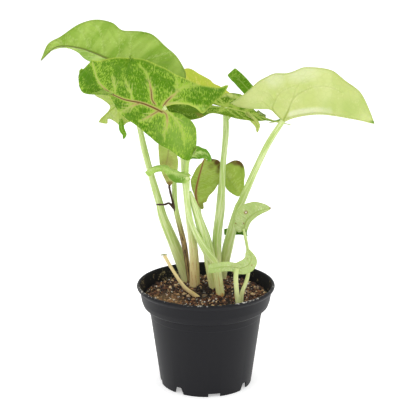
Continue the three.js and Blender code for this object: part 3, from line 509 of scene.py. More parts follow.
# %% [markdown]
# ## Outlines
# Each half of a blade has its own outline, because leaves lean to the light, tear and curl. The
# first number of a pair runs along the midrib, 1 at the tip and 0 at the stalk, and below 0 it
# runs back along the basal lobe. The second is the distance from the midrib as a share of the
# half-width. The margin goes round the outside from the tip to the lobe's end, and the sinus
# from the stalk back to it.

# %% Outlines of whole halves
OPEN_SINUS = [(0, 0), (-0.25, 0.06), (-0.62, 0.2), (-1, 0.52)]
NARROW_SINUS = [(0, 0), (-0.3, 0.03), (-0.7, 0.1), (-1, 0.3)]
OUTLINES = {
    "pointed": {
        "margin": [(1, 0), (0.9, 0.11), (0.72, 0.38), (0.5, 0.7), (0.26, 0.95), (0.04, 1),
            (-0.3, 0.9), (-0.68, 0.78), (-1, 0.52)],
        "sinus": OPEN_SINUS,
    },
    "oval": {
        "margin": [(1, 0), (0.92, 0.4), (0.72, 0.8), (0.48, 1), (0.24, 0.95), (0.04, 0.8),
            (-0.35, 0.75), (-0.75, 0.6), (-1, 0.3)],
        "sinus": NARROW_SINUS,
    },
    "blunt": {
        "margin": [(1, 0), (1, 0.5), (0.97, 0.9), (0.75, 1), (0.4, 1), (0.04, 0.9),
            (-0.35, 0.75), (-0.75, 0.6), (-1, 0.3)],
        "sinus": NARROW_SINUS,
    },
    "tapered": {
        "margin": [(1, 0), (0.88, 0.17), (0.75, 0.22), (0.62, 0.55), (0.52, 0.72), (0.4, 0.76),
            (0.28, 0.71), (0.15, 0.93), (0.02, 0.97), (-0.35, 0.89), (-0.81, 0.71), (-1, 0.5)],
        "sinus": [(0, 0), (-0.25, 0.05), (-0.62, 0.16), (-1, 0.5)],
    },
    "waisted": {
        "margin": [(1, 0), (0.9, 0.12), (0.78, 0.24), (0.66, 0.24), (0.5, 0.57), (0.34, 0.92),
            (0.04, 1), (-0.3, 0.9), (-0.68, 0.78), (-1, 0.52)],
        "sinus": OPEN_SINUS,
    },
}
print("whole halves:", *OUTLINES)

# %% Outlines of leaning and waved halves
OUTLINES |= {
    "domed": {
        "margin": [(1, 0), (0.91, 0.26), (0.77, 0.59), (0.59, 0.76), (0.44, 0.91), (0.28, 0.97),
            (0.16, 0.92), (0.04, 0.98), (-0.12, 0.96), (-0.32, 0.89), (-0.57, 0.72), (-0.8, 0.56),
            (-1.12, 0.36)],
        "sinus": [(0, 0), (-0.06, 0.05), (-0.13, 0.15), (-0.24, 0.26), (-0.55, 0.29),
            (-0.92, 0.31), (-1.12, 0.36)],
    },
    "notched": {
        "margin": [(1, 0), (1, 0.3), (1, 0.54), (0.94, 0.66), (0.87, 0.74), (0.8, 0.72),
            (0.72, 0.5), (0.67, 0.23), (0.57, 0.2), (0.48, 0.43), (0.39, 0.58), (0.25, 0.66),
            (0.12, 0.78), (-0.02, 0.88), (-0.36, 0.95), (-0.72, 1.04), (-0.93, 1), (-0.97, 0.75)],
        "sinus": [(0, 0), (-0.16, 0.08), (-0.38, 0.06), (-0.54, 0.1), (-0.69, 0.15),
            (-0.83, 0.27), (-0.9, 0.42), (-0.97, 0.62), (-0.97, 0.75)],
    },
    "arched": {
        "margin": [(1, 0), (0.93, 0.18), (0.88, 0.4), (0.8, 0.65), (0.65, 0.86), (0.48, 0.93),
            (0.33, 0.92), (0.17, 0.9), (0.02, 0.81), (-0.17, 0.73), (-0.36, 0.67), (-0.51, 0.63),
            (-0.65, 0.63), (-0.78, 0.65), (-0.88, 0.72), (-0.93, 0.73)],
        "sinus": [(0, 0), (-0.16, 0.11), (-0.32, 0.16), (-0.46, 0.12), (-0.55, 0.04),
            (-0.64, 0.17), (-0.74, 0.34), (-0.85, 0.51), (-0.93, 0.73)],
    },
    "scrolled": {
        "margin": [(1, 0), (0.8, 0.05), (0.6, 0.12), (0.5, 0.42), (0.42, 0.8), (0.32, 0.98),
            (0.18, 0.82), (0.04, 0.6), (-0.16, 0.34), (-0.4, 0.2), (-1, 0.15)],
        "sinus": [(0, 0), (-0.3, 0.03), (-0.7, 0.06), (-1, 0.15)],
    },
    "bulging": {
        "margin": [(1, 0), (0.8, 0.03), (0.62, 0.11), (0.5, 0.27), (0.38, 0.39), (0.2, 0.5),
            (0.04, 0.48), (-0.07, 0.46), (-0.16, 0.45), (-0.27, 0.56), (-0.44, 0.93),
            (-0.57, 1.12), (-0.75, 1.08), (-0.92, 0.85), (-1, 0.55)],
        "sinus": [(0, 0), (-0.2, 0.05), (-0.5, 0.15), (-0.85, 0.3), (-1, 0.55)],
    },
}
print("outlines so far:", len(OUTLINES))

# %% Outlines of narrow and young halves
OUTLINES |= {
    "ribbon": {
        "margin": [(1, 0), (0.88, 0.42), (0.65, 0.58), (0.46, 0.82), (0.32, 0.71), (0.15, 0.62),
            (0.04, 0.44), (-0.4, 0.35), (-1, 0.2)],
        "sinus": [(0, 0), (-0.3, 0.03), (-0.7, 0.08), (-1, 0.2)],
    },
    "frayed": {
        "margin": [(1, 0), (0.94, 0.12), (1, 0.2), (1, 0.3), (0.97, 0.37), (0.9, 0.43),
            (0.75, 0.47), (0.58, 0.49), (0.49, 0.46), (0.37, 0.41), (0.24, 0.3), (0.12, 0.22),
            (0.04, 0.13), (-1, 0.1)],
        "sinus": [(0, 0), (-0.5, 0.03), (-1, 0.1)],
    },
    "slender": {
        "margin": [(1, 0), (0.9, 0.15), (0.81, 0.48), (0.66, 0.73), (0.52, 0.88), (0.38, 0.6),
            (0.25, 0.22), (0.1, 0.12), (0.03, 0.12), (-1, 0.1)],
        "sinus": [(0, 0), (-0.5, 0.03), (-1, 0.1)],
    },
    "trimmed": {
        "margin": [(1, 0), (0.96, 0.28), (0.76, 0.72), (0.6, 0.88), (0.46, 0.8), (0.3, 0.86),
            (0.04, 0.6), (-1, 0.2)],
        "sinus": [(0, 0), (-0.5, 0.03), (-1, 0.2)],
    },
    "crowned": {
        "margin": [(1, 0), (0.98, 0.45), (0.78, 0.82), (0.66, 1.2), (0.56, 1.48), (0.45, 1.56),
            (0.36, 1.38), (0.29, 0.98), (0.2, 0.6), (0.04, 0.4), (-1, 0.2)],
        "sinus": [(0, 0), (-0.5, 0.03), (-1, 0.2)],
    },
    "swollen": {
        "margin": [(1, 0), (0.95, 0.21), (0.85, 0.62), (0.74, 0.91), (0.48, 1.06), (0.27, 0.82),
            (0.04, 0.6), (-0.5, 0.4), (-1, 0.2)],
        "sinus": [(0, 0), (-0.5, 0.05), (-1, 0.2)],
    },
    "flared": {
        "margin": [(1, 0), (0.94, 0.35), (0.8, 0.51), (0.64, 0.73), (0.44, 1.02), (0.18, 1.47),
            (0.04, 1.5), (-0.5, 1), (-1, 0.4)],
        "sinus": [(0, 0), (-0.5, 0.1), (-1, 0.4)],
    },
}
print("outlines so far:", len(OUTLINES))

# %% Outlines of torn and hanging halves
OUTLINES |= {
    "torn_above": {
        "margin": [(1, 0), (0.92, 0.07), (0.82, 0.05), (0.71, 0.08), (0.66, 0.24), (0.71, 0.75),
            (0.78, 1.3), (0.66, 1.38), (0.49, 1.26), (0.04, 1), (-0.35, 0.75), (-0.75, 0.6),
            (-1, 0.3)],
        "sinus": NARROW_SINUS,
    },
    "torn_below": {
        "margin": [(1, 0), (0.94, 0.27), (0.87, 0.5), (0.83, 0.3), (0.78, 0.44), (0.72, 0.85),
            (0.65, 1.35), (0.55, 1.43), (0.39, 1.46), (0.14, 1.22), (0.04, 1.1), (-0.35, 0.75),
            (-1, 0.3)],
        "sinus": NARROW_SINUS,
    },
    "hooked": {
        "margin": [(1, 0), (0.97, 0.7), (0.88, 1), (0.8, 0.85), (0.72, 1.35), (0.62, 0.92),
            (0.44, 0.4), (0.2, 0.3), (0.04, 0.4), (-0.5, 0.5), (-1, 0.3)],
        "sinus": NARROW_SINUS,
    },
    "spooned": {
        "margin": [(1, 0), (0.96, 0.6), (0.86, 1.2), (0.76, 1.35), (0.62, 1.2), (0.53, 1),
            (0.46, 0.45), (0.38, 0.25), (0.2, 0.3), (0.04, 0.4), (-0.5, 0.5), (-1, 0.3)],
        "sinus": NARROW_SINUS,
    },
    "hanging": {
        "margin": [(1, 0), (1, 0.35), (0.96, 0.62), (0.82, 0.6), (0.65, 0.55), (0.5, 0.6),
            (0.36, 0.82), (0.22, 1), (0.04, 0.9), (-0.5, 0.6), (-1, 0.3)],
        "sinus": NARROW_SINUS,
    },
}
print("outlines:", len(OUTLINES))

# %% [markdown]
# ## Veins
# From the end of the stalk three strong veins run into each half of the leaf: one towards the
# margin, one sideways and one back into the lobe. Further laterals leave the midrib, bend to the
# tip and fork. The veins are drawn as lines on the flat leaf, and each point of the sheet then
# learns how near the nearest one is. On the upper side a vein lies in a shallow groove with the
# blade swelling between, and on the underside it stands out, so the same numbers serve the
# colour and the relief.

# %% One vein
VEIN_STEP = 0.5              # millimetres between the points of a vein line
WIDE_VEIN = 1.3              # a vein this wide is fully red, a thinner one only in part
RED_FADE = 12                # millimetres over which a vein's red ends


def vein_line(start, heading, bend, reach, width, taper=0.35):
    """Points along a bending line: (along, out, width, redness)."""
    steps = np.arange(0, reach, VEIN_STEP)
    angles = np.radians(heading + bend * steps / reach)
    along = start[0] + np.cumsum(np.cos(angles)) * VEIN_STEP
    out = start[1] + np.cumsum(np.sin(angles)) * VEIN_STEP
    return np.stack([along, out, width * (1 - (1 - taper) * steps / reach), 0 * steps], 1)


def placed_vein(blade, frames, half, width, red_reach, spots):
    """A vein through spots given as shares, red for its first millimetres."""
    line = through(spots, np.linspace(0, 1, 12 * len(spots)))
    line[:, 0] *= np.where(line[:, 0] >= 0, frames["length"], blade["lobe"][half])
    line[:, 1] *= blade["width"][half]
    way = np.concatenate([[0], np.cumsum(np.hypot(*np.diff(line, axis=0).T))])
    steps = np.arange(0, way[-1], VEIN_STEP)
    line = np.stack([np.interp(steps, way, line[:, axis]) for axis in (0, 1)], 1)
    thin = width * (1 - 0.5 * steps / way[-1])
    red = np.clip((red_reach - steps) / RED_FADE + 0.5, 0, 1)
    return np.column_stack([line, thin, red * min(1, (width / WIDE_VEIN) ** 1.5)])


print("points on a vein 30 mm long:", len(vein_line((0, 0), 70, -22, 30, 0.8)))

# %% All veins of a half
LATERALS = [(0, 70), (0, 113), (0, 150), (0.13, 72), (0.28, 64), (0.43, 58), (0.57, 54),
            (0.7, 50), (0.82, 46)]   # share of the midrib where it starts, degrees from the tip
FORKS = (0.32, 0.55, 0.76)   # shares of a vein's way where it forks to both sides
FORK_ANGLE, FORK_BEND = 34, 14
FORK_REACH = 12              # millimetres
VEIN_WIDTH, FORK_WIDTH = 0.8, 0.6
FULL_GROWN = 30              # the half-width in mm of a leaf with full-sized veins


def forks_of(line, width, reach):
    """Short side branches of a vein, one to each side at every fork, marked by redness -1."""
    made = []
    for fork in FORKS:
        at = int(fork * (len(line) - 2))
        ahead = math.degrees(math.atan2(*(line[at + 1] - line[at])[1::-1]))
        for side in (-1, 1):
            branch = vein_line(line[at][:2], ahead + side * FORK_ANGLE, -side * FORK_BEND,
                               reach * (1 - fork), width, 0.5)
            branch[:, 3] = -1
            made.append(branch)
    return made


def vein_points(blade, frames, half):
    """All veins of one half as points (along, out, width, redness)."""
    length, width, lobe = frames["length"], blade["width"][half], blade["lobe"][half]
    size = min(1, width / FULL_GROWN)
    lines = []
    for side, wide, red_reach, spots in blade["veins"]:
        if side == half:
            line = placed_vein(blade, frames, half, wide, red_reach, spots)
            lines.append(line)
            if blade["forks"]:
                lines += forks_of(line, FORK_WIDTH, FORK_REACH)
    for share, heading in LATERALS if not blade["veins"] else ():
        bend = -22 if heading < 100 else 16 * (heading > 140)    # degrees, on to the vein's end
        reach = 1.25 * (lobe if heading > 140 else width)
        line = vein_line((share * length, 0), heading, bend, reach, VEIN_WIDTH * size)
        lines += [line, *forks_of(line, FORK_WIDTH * size, 0.5 * reach)]
    return np.concatenate(lines)


def nearest(places, targets):
    """For each flat place: its distance to the nearest target, and which target that is."""
    tree = kdtree.KDTree(len(targets))
    for index, target in enumerate(targets):
        tree.insert((target[0], target[1], 0), index)
    tree.balance()
    found = [tree.find((place[0], place[1], 0)) for place in places]
    return np.array([item[2] for item in found]), np.array([item[1] for item in found])


print("veins of a plain half:", len(LATERALS), "each with", 2 * len(FORKS), "branches")

# %% [markdown]
# ## From outline to solid blade
# A half is a grid. Its rows run from the midrib out to the margin, and past the stalk they run
# from the sinus out instead. The two halves share the midrib. The grid is laid on the bent
# leaf, the vein relief is added along the sheet's normals, and a second sheet under it, joined
# along the rim, makes it a closed blade of its real thickness, with a keel under the midrib.

# %% Flat grid of a half
RIB_ROWS = 0.62              # share of a half's rows that start on the midrib
STALK_TURN = 0.05            # the margin passes the stalk at this share of the midrib


def half_grid(blade, frames, half):
    """Millimetres along and out for a half's rows and columns, and its edge as flat points."""
    outline = OUTLINES[blade["outline"][half]]
    count = len(outline["margin"]) - 1
    turn = next(i for i, pair in enumerate(outline["margin"]) if pair[0] <= STALK_TURN) / count
    rows, columns = blade["rows"], blade["columns"]
    turn_row = round(RIB_ROWS * rows)
    front = np.linspace(0, 1, turn_row + 1)
    back = np.linspace(0, 1, rows - turn_row + 1)[1:]
    edge = through(outline["margin"], np.concatenate([turn * front, turn + (1 - turn) * back]))
    inner = np.concatenate([np.stack([1 - front, 0 * front], 1), through(outline["sinus"], back)])
    scale = [frames["length"], blade["width"][half]]
    for flat in (edge, inner):
        flat[:, 0] *= np.where(flat[:, 0] >= 0, scale[0], blade["lobe"][half])
        flat[:, 1] = np.maximum(flat[:, 1], 0) * scale[1]
    shares = np.linspace(0, 1, columns + 1)[None, :, None]
    grid = inner[:, None, :] * (1 - shares) + edge[:, None, :] * shares
    return grid, np.concatenate([edge, inner[turn_row + 1:]])


print("share of a half's rows that start on the midrib:", RIB_ROWS)

# %% Marks on the flat leaf
MARK_LEVEL, MARK_FALL = 1.6, 1.2     # a mark is whole in its middle and fades out round it


def spread(spots, blade, half, frames, flat):
    """How much of a mark each flat point has, from spots (half, along, out, radius, amount)."""
    mark = np.zeros(len(flat))
    for side, along, out, radius, amount in spots:
        if side == half:
            reach = frames["length"] if along >= 0 else blade["lobe"][half]
            away = np.hypot(flat[:, 0] - along * reach, flat[:, 1] - out * blade["width"][half])
            mark = np.maximum(mark, amount * np.clip(MARK_LEVEL - MARK_FALL * away / radius, 0, 1))
    return mark


print("a mark is whole to", round((MARK_LEVEL - 1) / MARK_FALL, 2), "of its radius")

# %% Sheet of a half, with what each point knows
MARGIN_WIDTH = 1.2           # the paler band along the margin
HALO_WIDTH = 3.0             # the paler field beside a vein, in widths of the vein
RIB_WIDTH, RIB_TAPER = 1.3, 0.6
SWELL_WIDTH = 3.2            # the groove of a vein, before the blade swells
INSET = 2                    # the blade is flat again this near to its margin
PATTERN_SHIFT = 40.0         # millimetres from one blade's pattern to the next one's


def half_sheet(blade, frames, half):
    """Places, facts and faces of one half."""
    grid, edge = half_grid(blade, frames, half)
    rows, columns = grid.shape[:2]
    flat = grid.reshape(-1, 2)
    places = blade_points(blade, frames, half, flat[:, 0], flat[:, 1])
    veins = vein_points(blade, frames, half)
    distance, which = nearest(flat, veins)
    size = min(1, max(blade["width"]) / FULL_GROWN)
    to_rib = np.where(flat[:, 0] >= 0, flat[:, 1], np.hypot(flat[:, 0], flat[:, 1]))
    to_edge, _ = nearest(flat, edge)
    along_rib = np.clip(flat[:, 0] / frames["length"], 0, 1)
    rib_width = RIB_WIDTH * size * (1 - RIB_TAPER * along_rib)
    vein = np.exp(-(distance / veins[which, 2]) ** 2)
    main = veins[veins[:, 3] >= 0]
    to_main, which = nearest(flat, main)
    main_width, red = main[which, 2], main[which, 3]
    fading = np.clip(1.25 - to_rib / (0.8 * max(blade["width"])), 0.35, 1)
    if blade["veins"]:
        to_line, midrib = distance, np.exp(-(to_main / main_width) ** 2) * red
    else:
        to_line, midrib = np.minimum(distance, to_rib), np.exp(-(to_rib / rib_width) ** 2)
    inset = np.exp(-(INSET / np.maximum(to_edge, 0.1)) ** 2)
    handed = 1 if half == 0 else -1
    shift = PATTERN_SHIFT * blade["seed"] + 0 * flat[:, 0]
    known = {
        "vein": vein * fading,
        "midrib": midrib,
        "halo": np.exp(-(to_main / (HALO_WIDTH * main_width)) ** 2),
        "margin": np.exp(-(to_edge / (MARGIN_WIDTH * size)) ** 2) * blade["edge"][half],
        "scar": spread(blade["scars"], blade, half, frames, flat),
        # painted shade: how much shadow is painted at each point
        "painted_shade": spread(blade["shade_patches"], blade, half, frames, flat),
        # pale spots, partly painted sheen
        "pale": spread(blade["pales_and_sheen"], blade, half, frames, flat),
        "swell": (1 - np.exp(-(to_line / (SWELL_WIDTH * size)) ** 2)) * inset,
        "share": along_rib,
        "to_rib": to_rib,
        "leaf_place": np.stack([flat[:, 0], handed * flat[:, 1], shift], 1),
    }
    index = np.arange(rows * columns).reshape(rows, columns)
    corners = [index[:-1, :-1], index[1:, :-1], index[1:, 1:], index[:-1, 1:]]
    if half == 0:
        corners.reverse()
    faces = np.stack([corner.ravel() for corner in corners], 1)
    return places, known, faces


print("the paler margin is", MARGIN_WIDTH, "mm wide on a full-grown leaf")

# %% Welding, normals and holes
WELD = 0.002                 # millimetres


def welded(places, faces, known):
    """One point wherever several lie together, with empty corners and faces taken out."""
    keys = np.round(places / WELD).astype(np.int64)
    _, first, same = np.unique(keys, axis=0, return_index=True, return_inverse=True)
    same = same.ravel()
    kept = []
    for face in same[faces]:
        corners = [corner for k, corner in enumerate(face) if corner != face[k - 1]]
        if len(set(corners)) >= 3:
            kept.append(corners)
    return places[first], kept, {name: values[first] for name, values in known.items()}


def point_normals(places, faces):
    """Each point's normal, the mean of its faces' with larger faces counting more."""
    normals = np.zeros_like(places)
    for size in (3, 4):
        chosen = np.array([face for face in faces if len(face) == size])
        if len(chosen):
            corners = places[chosen]
            turn = np.cross(corners[:, 2] - corners[:, 0], corners[:, -1] - corners[:, 1])
            for corner in range(size):
                np.add.at(normals, chosen[:, corner], turn)
    lengths = np.linalg.norm(normals, axis=1, keepdims=True)
    return normals / np.maximum(lengths, 1e-9)


def holed(faces, known, spot, blade, frames):
    """The faces left when those round a spot (half, along, out, radius) are eaten away."""
    half, along, out, radius = spot
    handed = 1 if half == 0 else -1
    centre = np.array([along * frames["length"], handed * out * blade["width"][half]])
    away = known["leaf_place"][:, :2] - centre
    angle = np.arctan2(away[:, 1], away[:, 0])
    ragged = radius * (1 + 0.25 * np.sin(3 * angle + 1) + 0.12 * np.sin(7 * angle))
    inside = np.hypot(*away.T) < ragged
    return [face for face in faces if not inside[face].all()]


def open_edges(faces):
    """The edges that only one face has, each in the direction in which that face runs."""
    sides = {}
    for face in faces:
        for start, end in zip(face, face[1:] + face[:1]):
            if (end, start) in sides:
                del sides[(end, start)]
            else:
                sides[(start, end)] = True
    return list(sides)


print("open edges of one square face:", len(open_edges([[0, 1, 2, 3]])))

# %% Storing facts on a mesh
def store(mesh, name, kind, values, domain="POINT"):
    layer = mesh.attributes.new(name, kind, domain)
    field = {"FLOAT_VECTOR": "vector", "FLOAT": "value", "BOOLEAN": "value"}[kind]
    layer.data.foreach_set(field, np.asarray(values).ravel())


def place_in_scene(name, mesh):
    made = bpy.data.objects.new(name, mesh)
    bpy.context.collection.objects.link(made)
    return made


BLADE_FACTS = ("vein", "midrib", "halo", "margin", "scar", "painted_shade", "pale")
print("facts that a blade's finish reads:", *BLADE_FACTS)

# %% A closed blade
THICKNESS = 0.6
KEEL_DEPTH, KEEL_WIDTH, KEEL_SHARE = 1.1, 3, 0.3
VEIN_DEPTH = 0.2
FULL_HALF_WIDTH = 20         # a blade this wide to a side has its full relief
QUILT = 0.8                  # height of the swelling between veins
QUILT_LEVEL = 0.9            # the swelling at which the sheet lies where the solid leaf does
PLANT_BOX = [np.array(corner) / MM for corner in cad_box]


def blade_object(name, blade, finishes):
    """The blade as an object. finishes are its upper side's, its underside's and its rim's."""
    frames = rib_frames(blade)
    halves = [half_sheet(blade, frames, half) for half in (0, 1)]
    offset = len(halves[0][0])
    places = np.concatenate([halves[0][0], halves[1][0]])
    faces = np.concatenate([halves[0][2], halves[1][2] + offset])
    known = {key: np.concatenate([halves[0][1][key], halves[1][1][key]]) for key in halves[0][1]}
    places, faces, known = welded(places, faces, known)
    for spot in blade["holes"]:
        faces = holed(faces, known, spot, blade, frames)
    normals = point_normals(places, faces)
    size = min(1, max(blade["width"]) / FULL_HALF_WIDTH)
    keel_width = min(KEEL_WIDTH, KEEL_SHARE * min(blade["width"]))
    keel = np.clip(1 - known["to_rib"] / keel_width, 0, 1) * (1 - known["share"])
    lift = QUILT * size * (known["swell"] - QUILT_LEVEL)
    depth = THICKNESS + KEEL_DEPTH * size * keel + VEIN_DEPTH * size * known["vein"]
    top = np.clip(places + normals * lift[:, None], *PLANT_BOX)
    under = np.clip(top - normals * depth[:, None], *PLANT_BOX)
    keep = np.array(sorted({corner for face in faces for corner in face}))
    count = len(keep)
    renumber = {old: new for new, old in enumerate(keep.tolist())}
    rim = [(renumber[start], renumber[end]) for start, end in open_edges(faces)]
    layers = [
        [[renumber[corner] for corner in face] for face in faces],
        [[renumber[corner] + count for corner in reversed(face)] for face in faces],
        [[start, start + count, end + count, end] for start, end in rim],
    ]
    mesh = bpy.data.meshes.new(name)
    mesh.from_pydata(MM * np.concatenate([top[keep], under[keep]]), [],
                     [face for layer in layers for face in layer])
    slots = np.repeat([0, 1, 2], [len(layer) for layer in layers])
    mesh.polygons.foreach_set("material_index", slots)
    mesh.polygons.foreach_set("use_smooth", np.ones(len(slots), bool))
    for finish in finishes:
        mesh.materials.append(finish)
    store(mesh, "leaf_place", "FLOAT_VECTOR", np.tile(known["leaf_place"][keep], (2, 1)))
    for key in BLADE_FACTS:
        store(mesh, key, "FLOAT", np.tile(known[key][keep], 2))
    rim_edges = {(min(pair) + shift, max(pair) + shift) for pair in rim for shift in (0, count)}
    sharp = [tuple(sorted(edge.vertices)) in rim_edges for edge in mesh.edges]
    store(mesh, "sharp_edge", "BOOLEAN", np.array(sharp), domain="EDGE")
    return place_in_scene(name, mesh)


print("blade tools ready, thickness", THICKNESS, "mm")

# %% [markdown]
# ## Stalks
# An arrowhead plant's stalk is a soft, slightly fluted rod with a shallow channel on the side
# that faces the plant's heart. Its lower part is wrapped by a thin winged sheath, from which the
# next leaf grew. The rod follows a path, so Geometry Nodes sweep a fluted ring along the path's
# curve and scale it by the stalk's radius. The tree keeps two facts on the mesh for the finish:
# the way along the stalk, and the turn round it.

# %% Stalk tree
CHANNEL_SHARPNESS = 9.0      # the higher, the narrower the channel

stalk_tree, given, result = new_tree(
    "GeometryNodeTree", "fluted stalk",
    [("Path", GEOMETRY, None), ("Sides", WHOLE, 24), ("Flutes", WHOLE, 9),
     ("Flute depth", FLOAT, 0.02), ("Channel depth", FLOAT, 0.12), ("Finish", MATERIAL, None)],
    [("Stalk", GEOMETRY)])
ring = add(stalk_tree, "GeometryNodeCurvePrimitiveCircle",
           {"Resolution": given["Sides"], "Radius": 1.0}).outputs["Curve"]
factor = add(stalk_tree, "GeometryNodeSplineParameter").outputs["Factor"]
angle = calc(stalk_tree, "MULTIPLY", factor, 2 * math.pi)
flute = calc(stalk_tree, "COSINE", calc(stalk_tree, "MULTIPLY", angle, given["Flutes"]))
from_channel = calc(stalk_tree, "MULTIPLY", calc(stalk_tree, "SUBTRACT", factor, 0.5),
                    CHANNEL_SHARPNESS)
squared = calc(stalk_tree, "MULTIPLY", from_channel, from_channel)
dip = calc(stalk_tree, "EXPONENT", calc(stalk_tree, "MULTIPLY", squared, -1.0))
swell = calc(stalk_tree, "SUBTRACT",
             calc(stalk_tree, "MULTIPLY", flute, given["Flute depth"]),
             calc(stalk_tree, "MULTIPLY", dip, given["Channel depth"]))
spot = add(stalk_tree, "GeometryNodeInputPosition").outputs[0]
offset = add(stalk_tree, "ShaderNodeVectorMath", {0: spot, "Scale": swell}, operation="SCALE")
ring = add(stalk_tree, "GeometryNodeStoreNamedAttribute",
           {"Geometry": ring, "Name": "stalk_turn", "Value": factor}).outputs[0]
ring = add(stalk_tree, "GeometryNodeSetPosition",
           {"Geometry": ring, "Offset": offset.outputs[0]}).outputs[0]
way = add(stalk_tree, "GeometryNodeSplineParameter").outputs["Length"]
path = add(stalk_tree, "GeometryNodeStoreNamedAttribute",
           {"Geometry": given["Path"], "Name": "stalk_way", "Value": way}).outputs[0]
radius = add(stalk_tree, "GeometryNodeInputRadius").outputs[0]
swept = add(stalk_tree, "GeometryNodeCurveToMesh",
            {"Curve": path, "Profile Curve": ring, "Scale": radius, "Fill Caps": True})
smooth = add(stalk_tree, "GeometryNodeSetShadeSmooth", {"Geometry": swept.outputs[0]})
real = add(stalk_tree, "GeometryNodeRealizeInstances", {"Geometry": smooth.outputs[0]})
dressed = add(stalk_tree, "GeometryNodeSetMaterial",
              {"Geometry": real.outputs[0], "Material": given["Finish"]})
wire(stalk_tree, result["Stalk"], dressed.outputs[0])
print("stalk tree:", len(stalk_tree.nodes), "nodes")


# %% Running a tree
def grown(name, source, tree, inputs):
    """A source object put through a node tree and turned into a plain mesh object."""
    modifier = source.modifiers.new("tree", "NODES")
    modifier.node_group = tree
    for socket in tree.interface.items_tree:
        if socket.in_out == "INPUT" and socket.name in inputs:
            modifier[socket.identifier] = inputs[socket.name]
    source.update_tag()
    evaluated = source.evaluated_get(bpy.context.evaluated_depsgraph_get())
    mesh = bpy.data.meshes.new_from_object(evaluated)
    mesh.name = name
    bpy.data.objects.remove(source)
    return place_in_scene(name, mesh)


def path_object(name, path, radii, step=2.5):
    """A curve through placed points in millimetres, with a radius at each."""
    steps = max(8, int(sum(math.dist(a, b) for a, b in zip(path, path[1:])) / step))
    shares = np.linspace(0, 1, steps + 1)
    curve = bpy.data.curves.new(name, "CURVE")
    curve.dimensions = "3D"
    curve.twist_mode = "MINIMUM"
    spline = curve.splines.new("POLY")
    spline.points.add(steps)
    wide = np.interp(shares, np.linspace(0, 1, len(radii)), radii)
    for point, place, radius in zip(spline.points, through(path, shares), wide):
        point.co = (*(MM * place), 1)
        point.radius = MM * radius
    made = bpy.data.objects.new(name, curve)
    bpy.context.collection.objects.link(made)
    return made


print("a tree needs a source object: here a curve, and later the ground's top")

# %% [markdown]
# ## Stalk colours
# A living stalk is pale green with lighter lines that run its whole length; these lines are
# painted whitish, so that they also stand for the stalk's highlights, a painted highlight. Near
# the soil it bleaches, dries in brown streaks, and ends in a stained node, from which the roots
# grow. The lines need a pattern that is long one way and fine the other, so the noise is read at
# the turn round the stalk and at a small part of the way along it, both of which the tree has
# stored.

# %% Stalk finish
LINE_FINENESS, LINE_PITCH = 1.8, 0.03    # of the noise round the stalk and along it
FOOT_RAGGED, NODE_RAGGED = 12, 5         # millimetres up and down where foot and node end


def stalk_finish(name, green, stripe_and_highlight, foot, foot_from, foot_to, streak=(150, 96, 50),
                 streak_cover=0.0, node=(150, 96, 50), node_top=0, gloss=0.42):
    """A stalk's colours: its green, its lighter stripes, which are partly a painted highlight, its
    foot below two heights in mm, the dry streaks of the foot and the stained node at the soil."""
    made, tree, shader = new_material(name)
    turn = calc(tree, "MULTIPLY", attribute(tree, "stalk_turn"), 2 * math.pi)
    way = calc(tree, "MULTIPLY", attribute(tree, "stalk_way"), 1 / MM)
    place = add(tree, "ShaderNodeCombineXYZ", {
        "X": calc(tree, "MULTIPLY", calc(tree, "COSINE", turn), LINE_FINENESS),
        "Y": calc(tree, "MULTIPLY", calc(tree, "SINE", turn), LINE_FINENESS),
        "Z": calc(tree, "MULTIPLY", way, LINE_PITCH)}).outputs[0]
    # Painted highlight in part: the whitish lengthwise stripes are the stalk's own lines and its
    # highlights.
    stripe_and_highlight_mask = soft_step(tree, noise(tree, place, 1.6, detail=3, roughness=0.6), 0.42, 0.6)
    colour = mixed(tree, calc(tree, "MULTIPLY", stripe_and_highlight_mask, 0.85), paint(*green), paint(*stripe_and_highlight))
    object_place = add(tree, "ShaderNodeTexCoord").outputs["Object"]
    height = add(tree, "ShaderNodeSeparateXYZ", {0: object_place}).outputs["Z"]
    up_and_down = calc(tree, "MULTIPLY", noise(tree, place, 2.0), FOOT_RAGGED * MM)
    low = calc(tree, "SUBTRACT", height, up_and_down)
    foot_from, foot_to = foot_from - FOOT_RAGGED / 2, foot_to - FOOT_RAGGED / 2
    foot_mask = calc(tree, "SUBTRACT", 1.0, soft_step(tree, low, foot_from * MM, foot_to * MM))
    colour = mixed(tree, calc(tree, "MULTIPLY", foot_mask, 0.85), colour, paint(*foot))
    grain = noise(tree, place, 2.6, detail=4, roughness=0.65)
    streak_mask = calc(tree, "MULTIPLY", foot_mask,
                       soft_step(tree, grain, 1 - streak_cover, 1.08 - streak_cover))
    colour = mixed(tree, streak_mask, colour, paint(*streak))
    up_and_down = calc(tree, "MULTIPLY", noise(tree, object_place, 500), NODE_RAGGED * MM)
    stain = calc(tree, "ADD", height, up_and_down)
    node_mask = calc(tree, "SUBTRACT", 1.0,
                     soft_step(tree, stain, (node_top + 0.5) * MM, (node_top + 3.5) * MM))
    colour = mixed(tree, calc(tree, "MULTIPLY", node_mask, 0.8), colour, paint(*node))
    wire(tree, shader["Base Color"], colour)
    shader["Roughness"].default_value = gloss
    shader["Subsurface Weight"].default_value = 0.1
    shader["Subsurface Radius"].default_value = (0.8, 1.0, 0.3)
    shader["Subsurface Scale"].default_value = 1.5 * MM
    ridges = noise(tree, place, 5.0, detail=2)
    bump = add(tree, "ShaderNodeBump", {"Strength": 0.3, "Distance": 0.3 * MM, "Height": ridges})
    wire(tree, shader["Normal"], bump.outputs["Normal"])
    return made


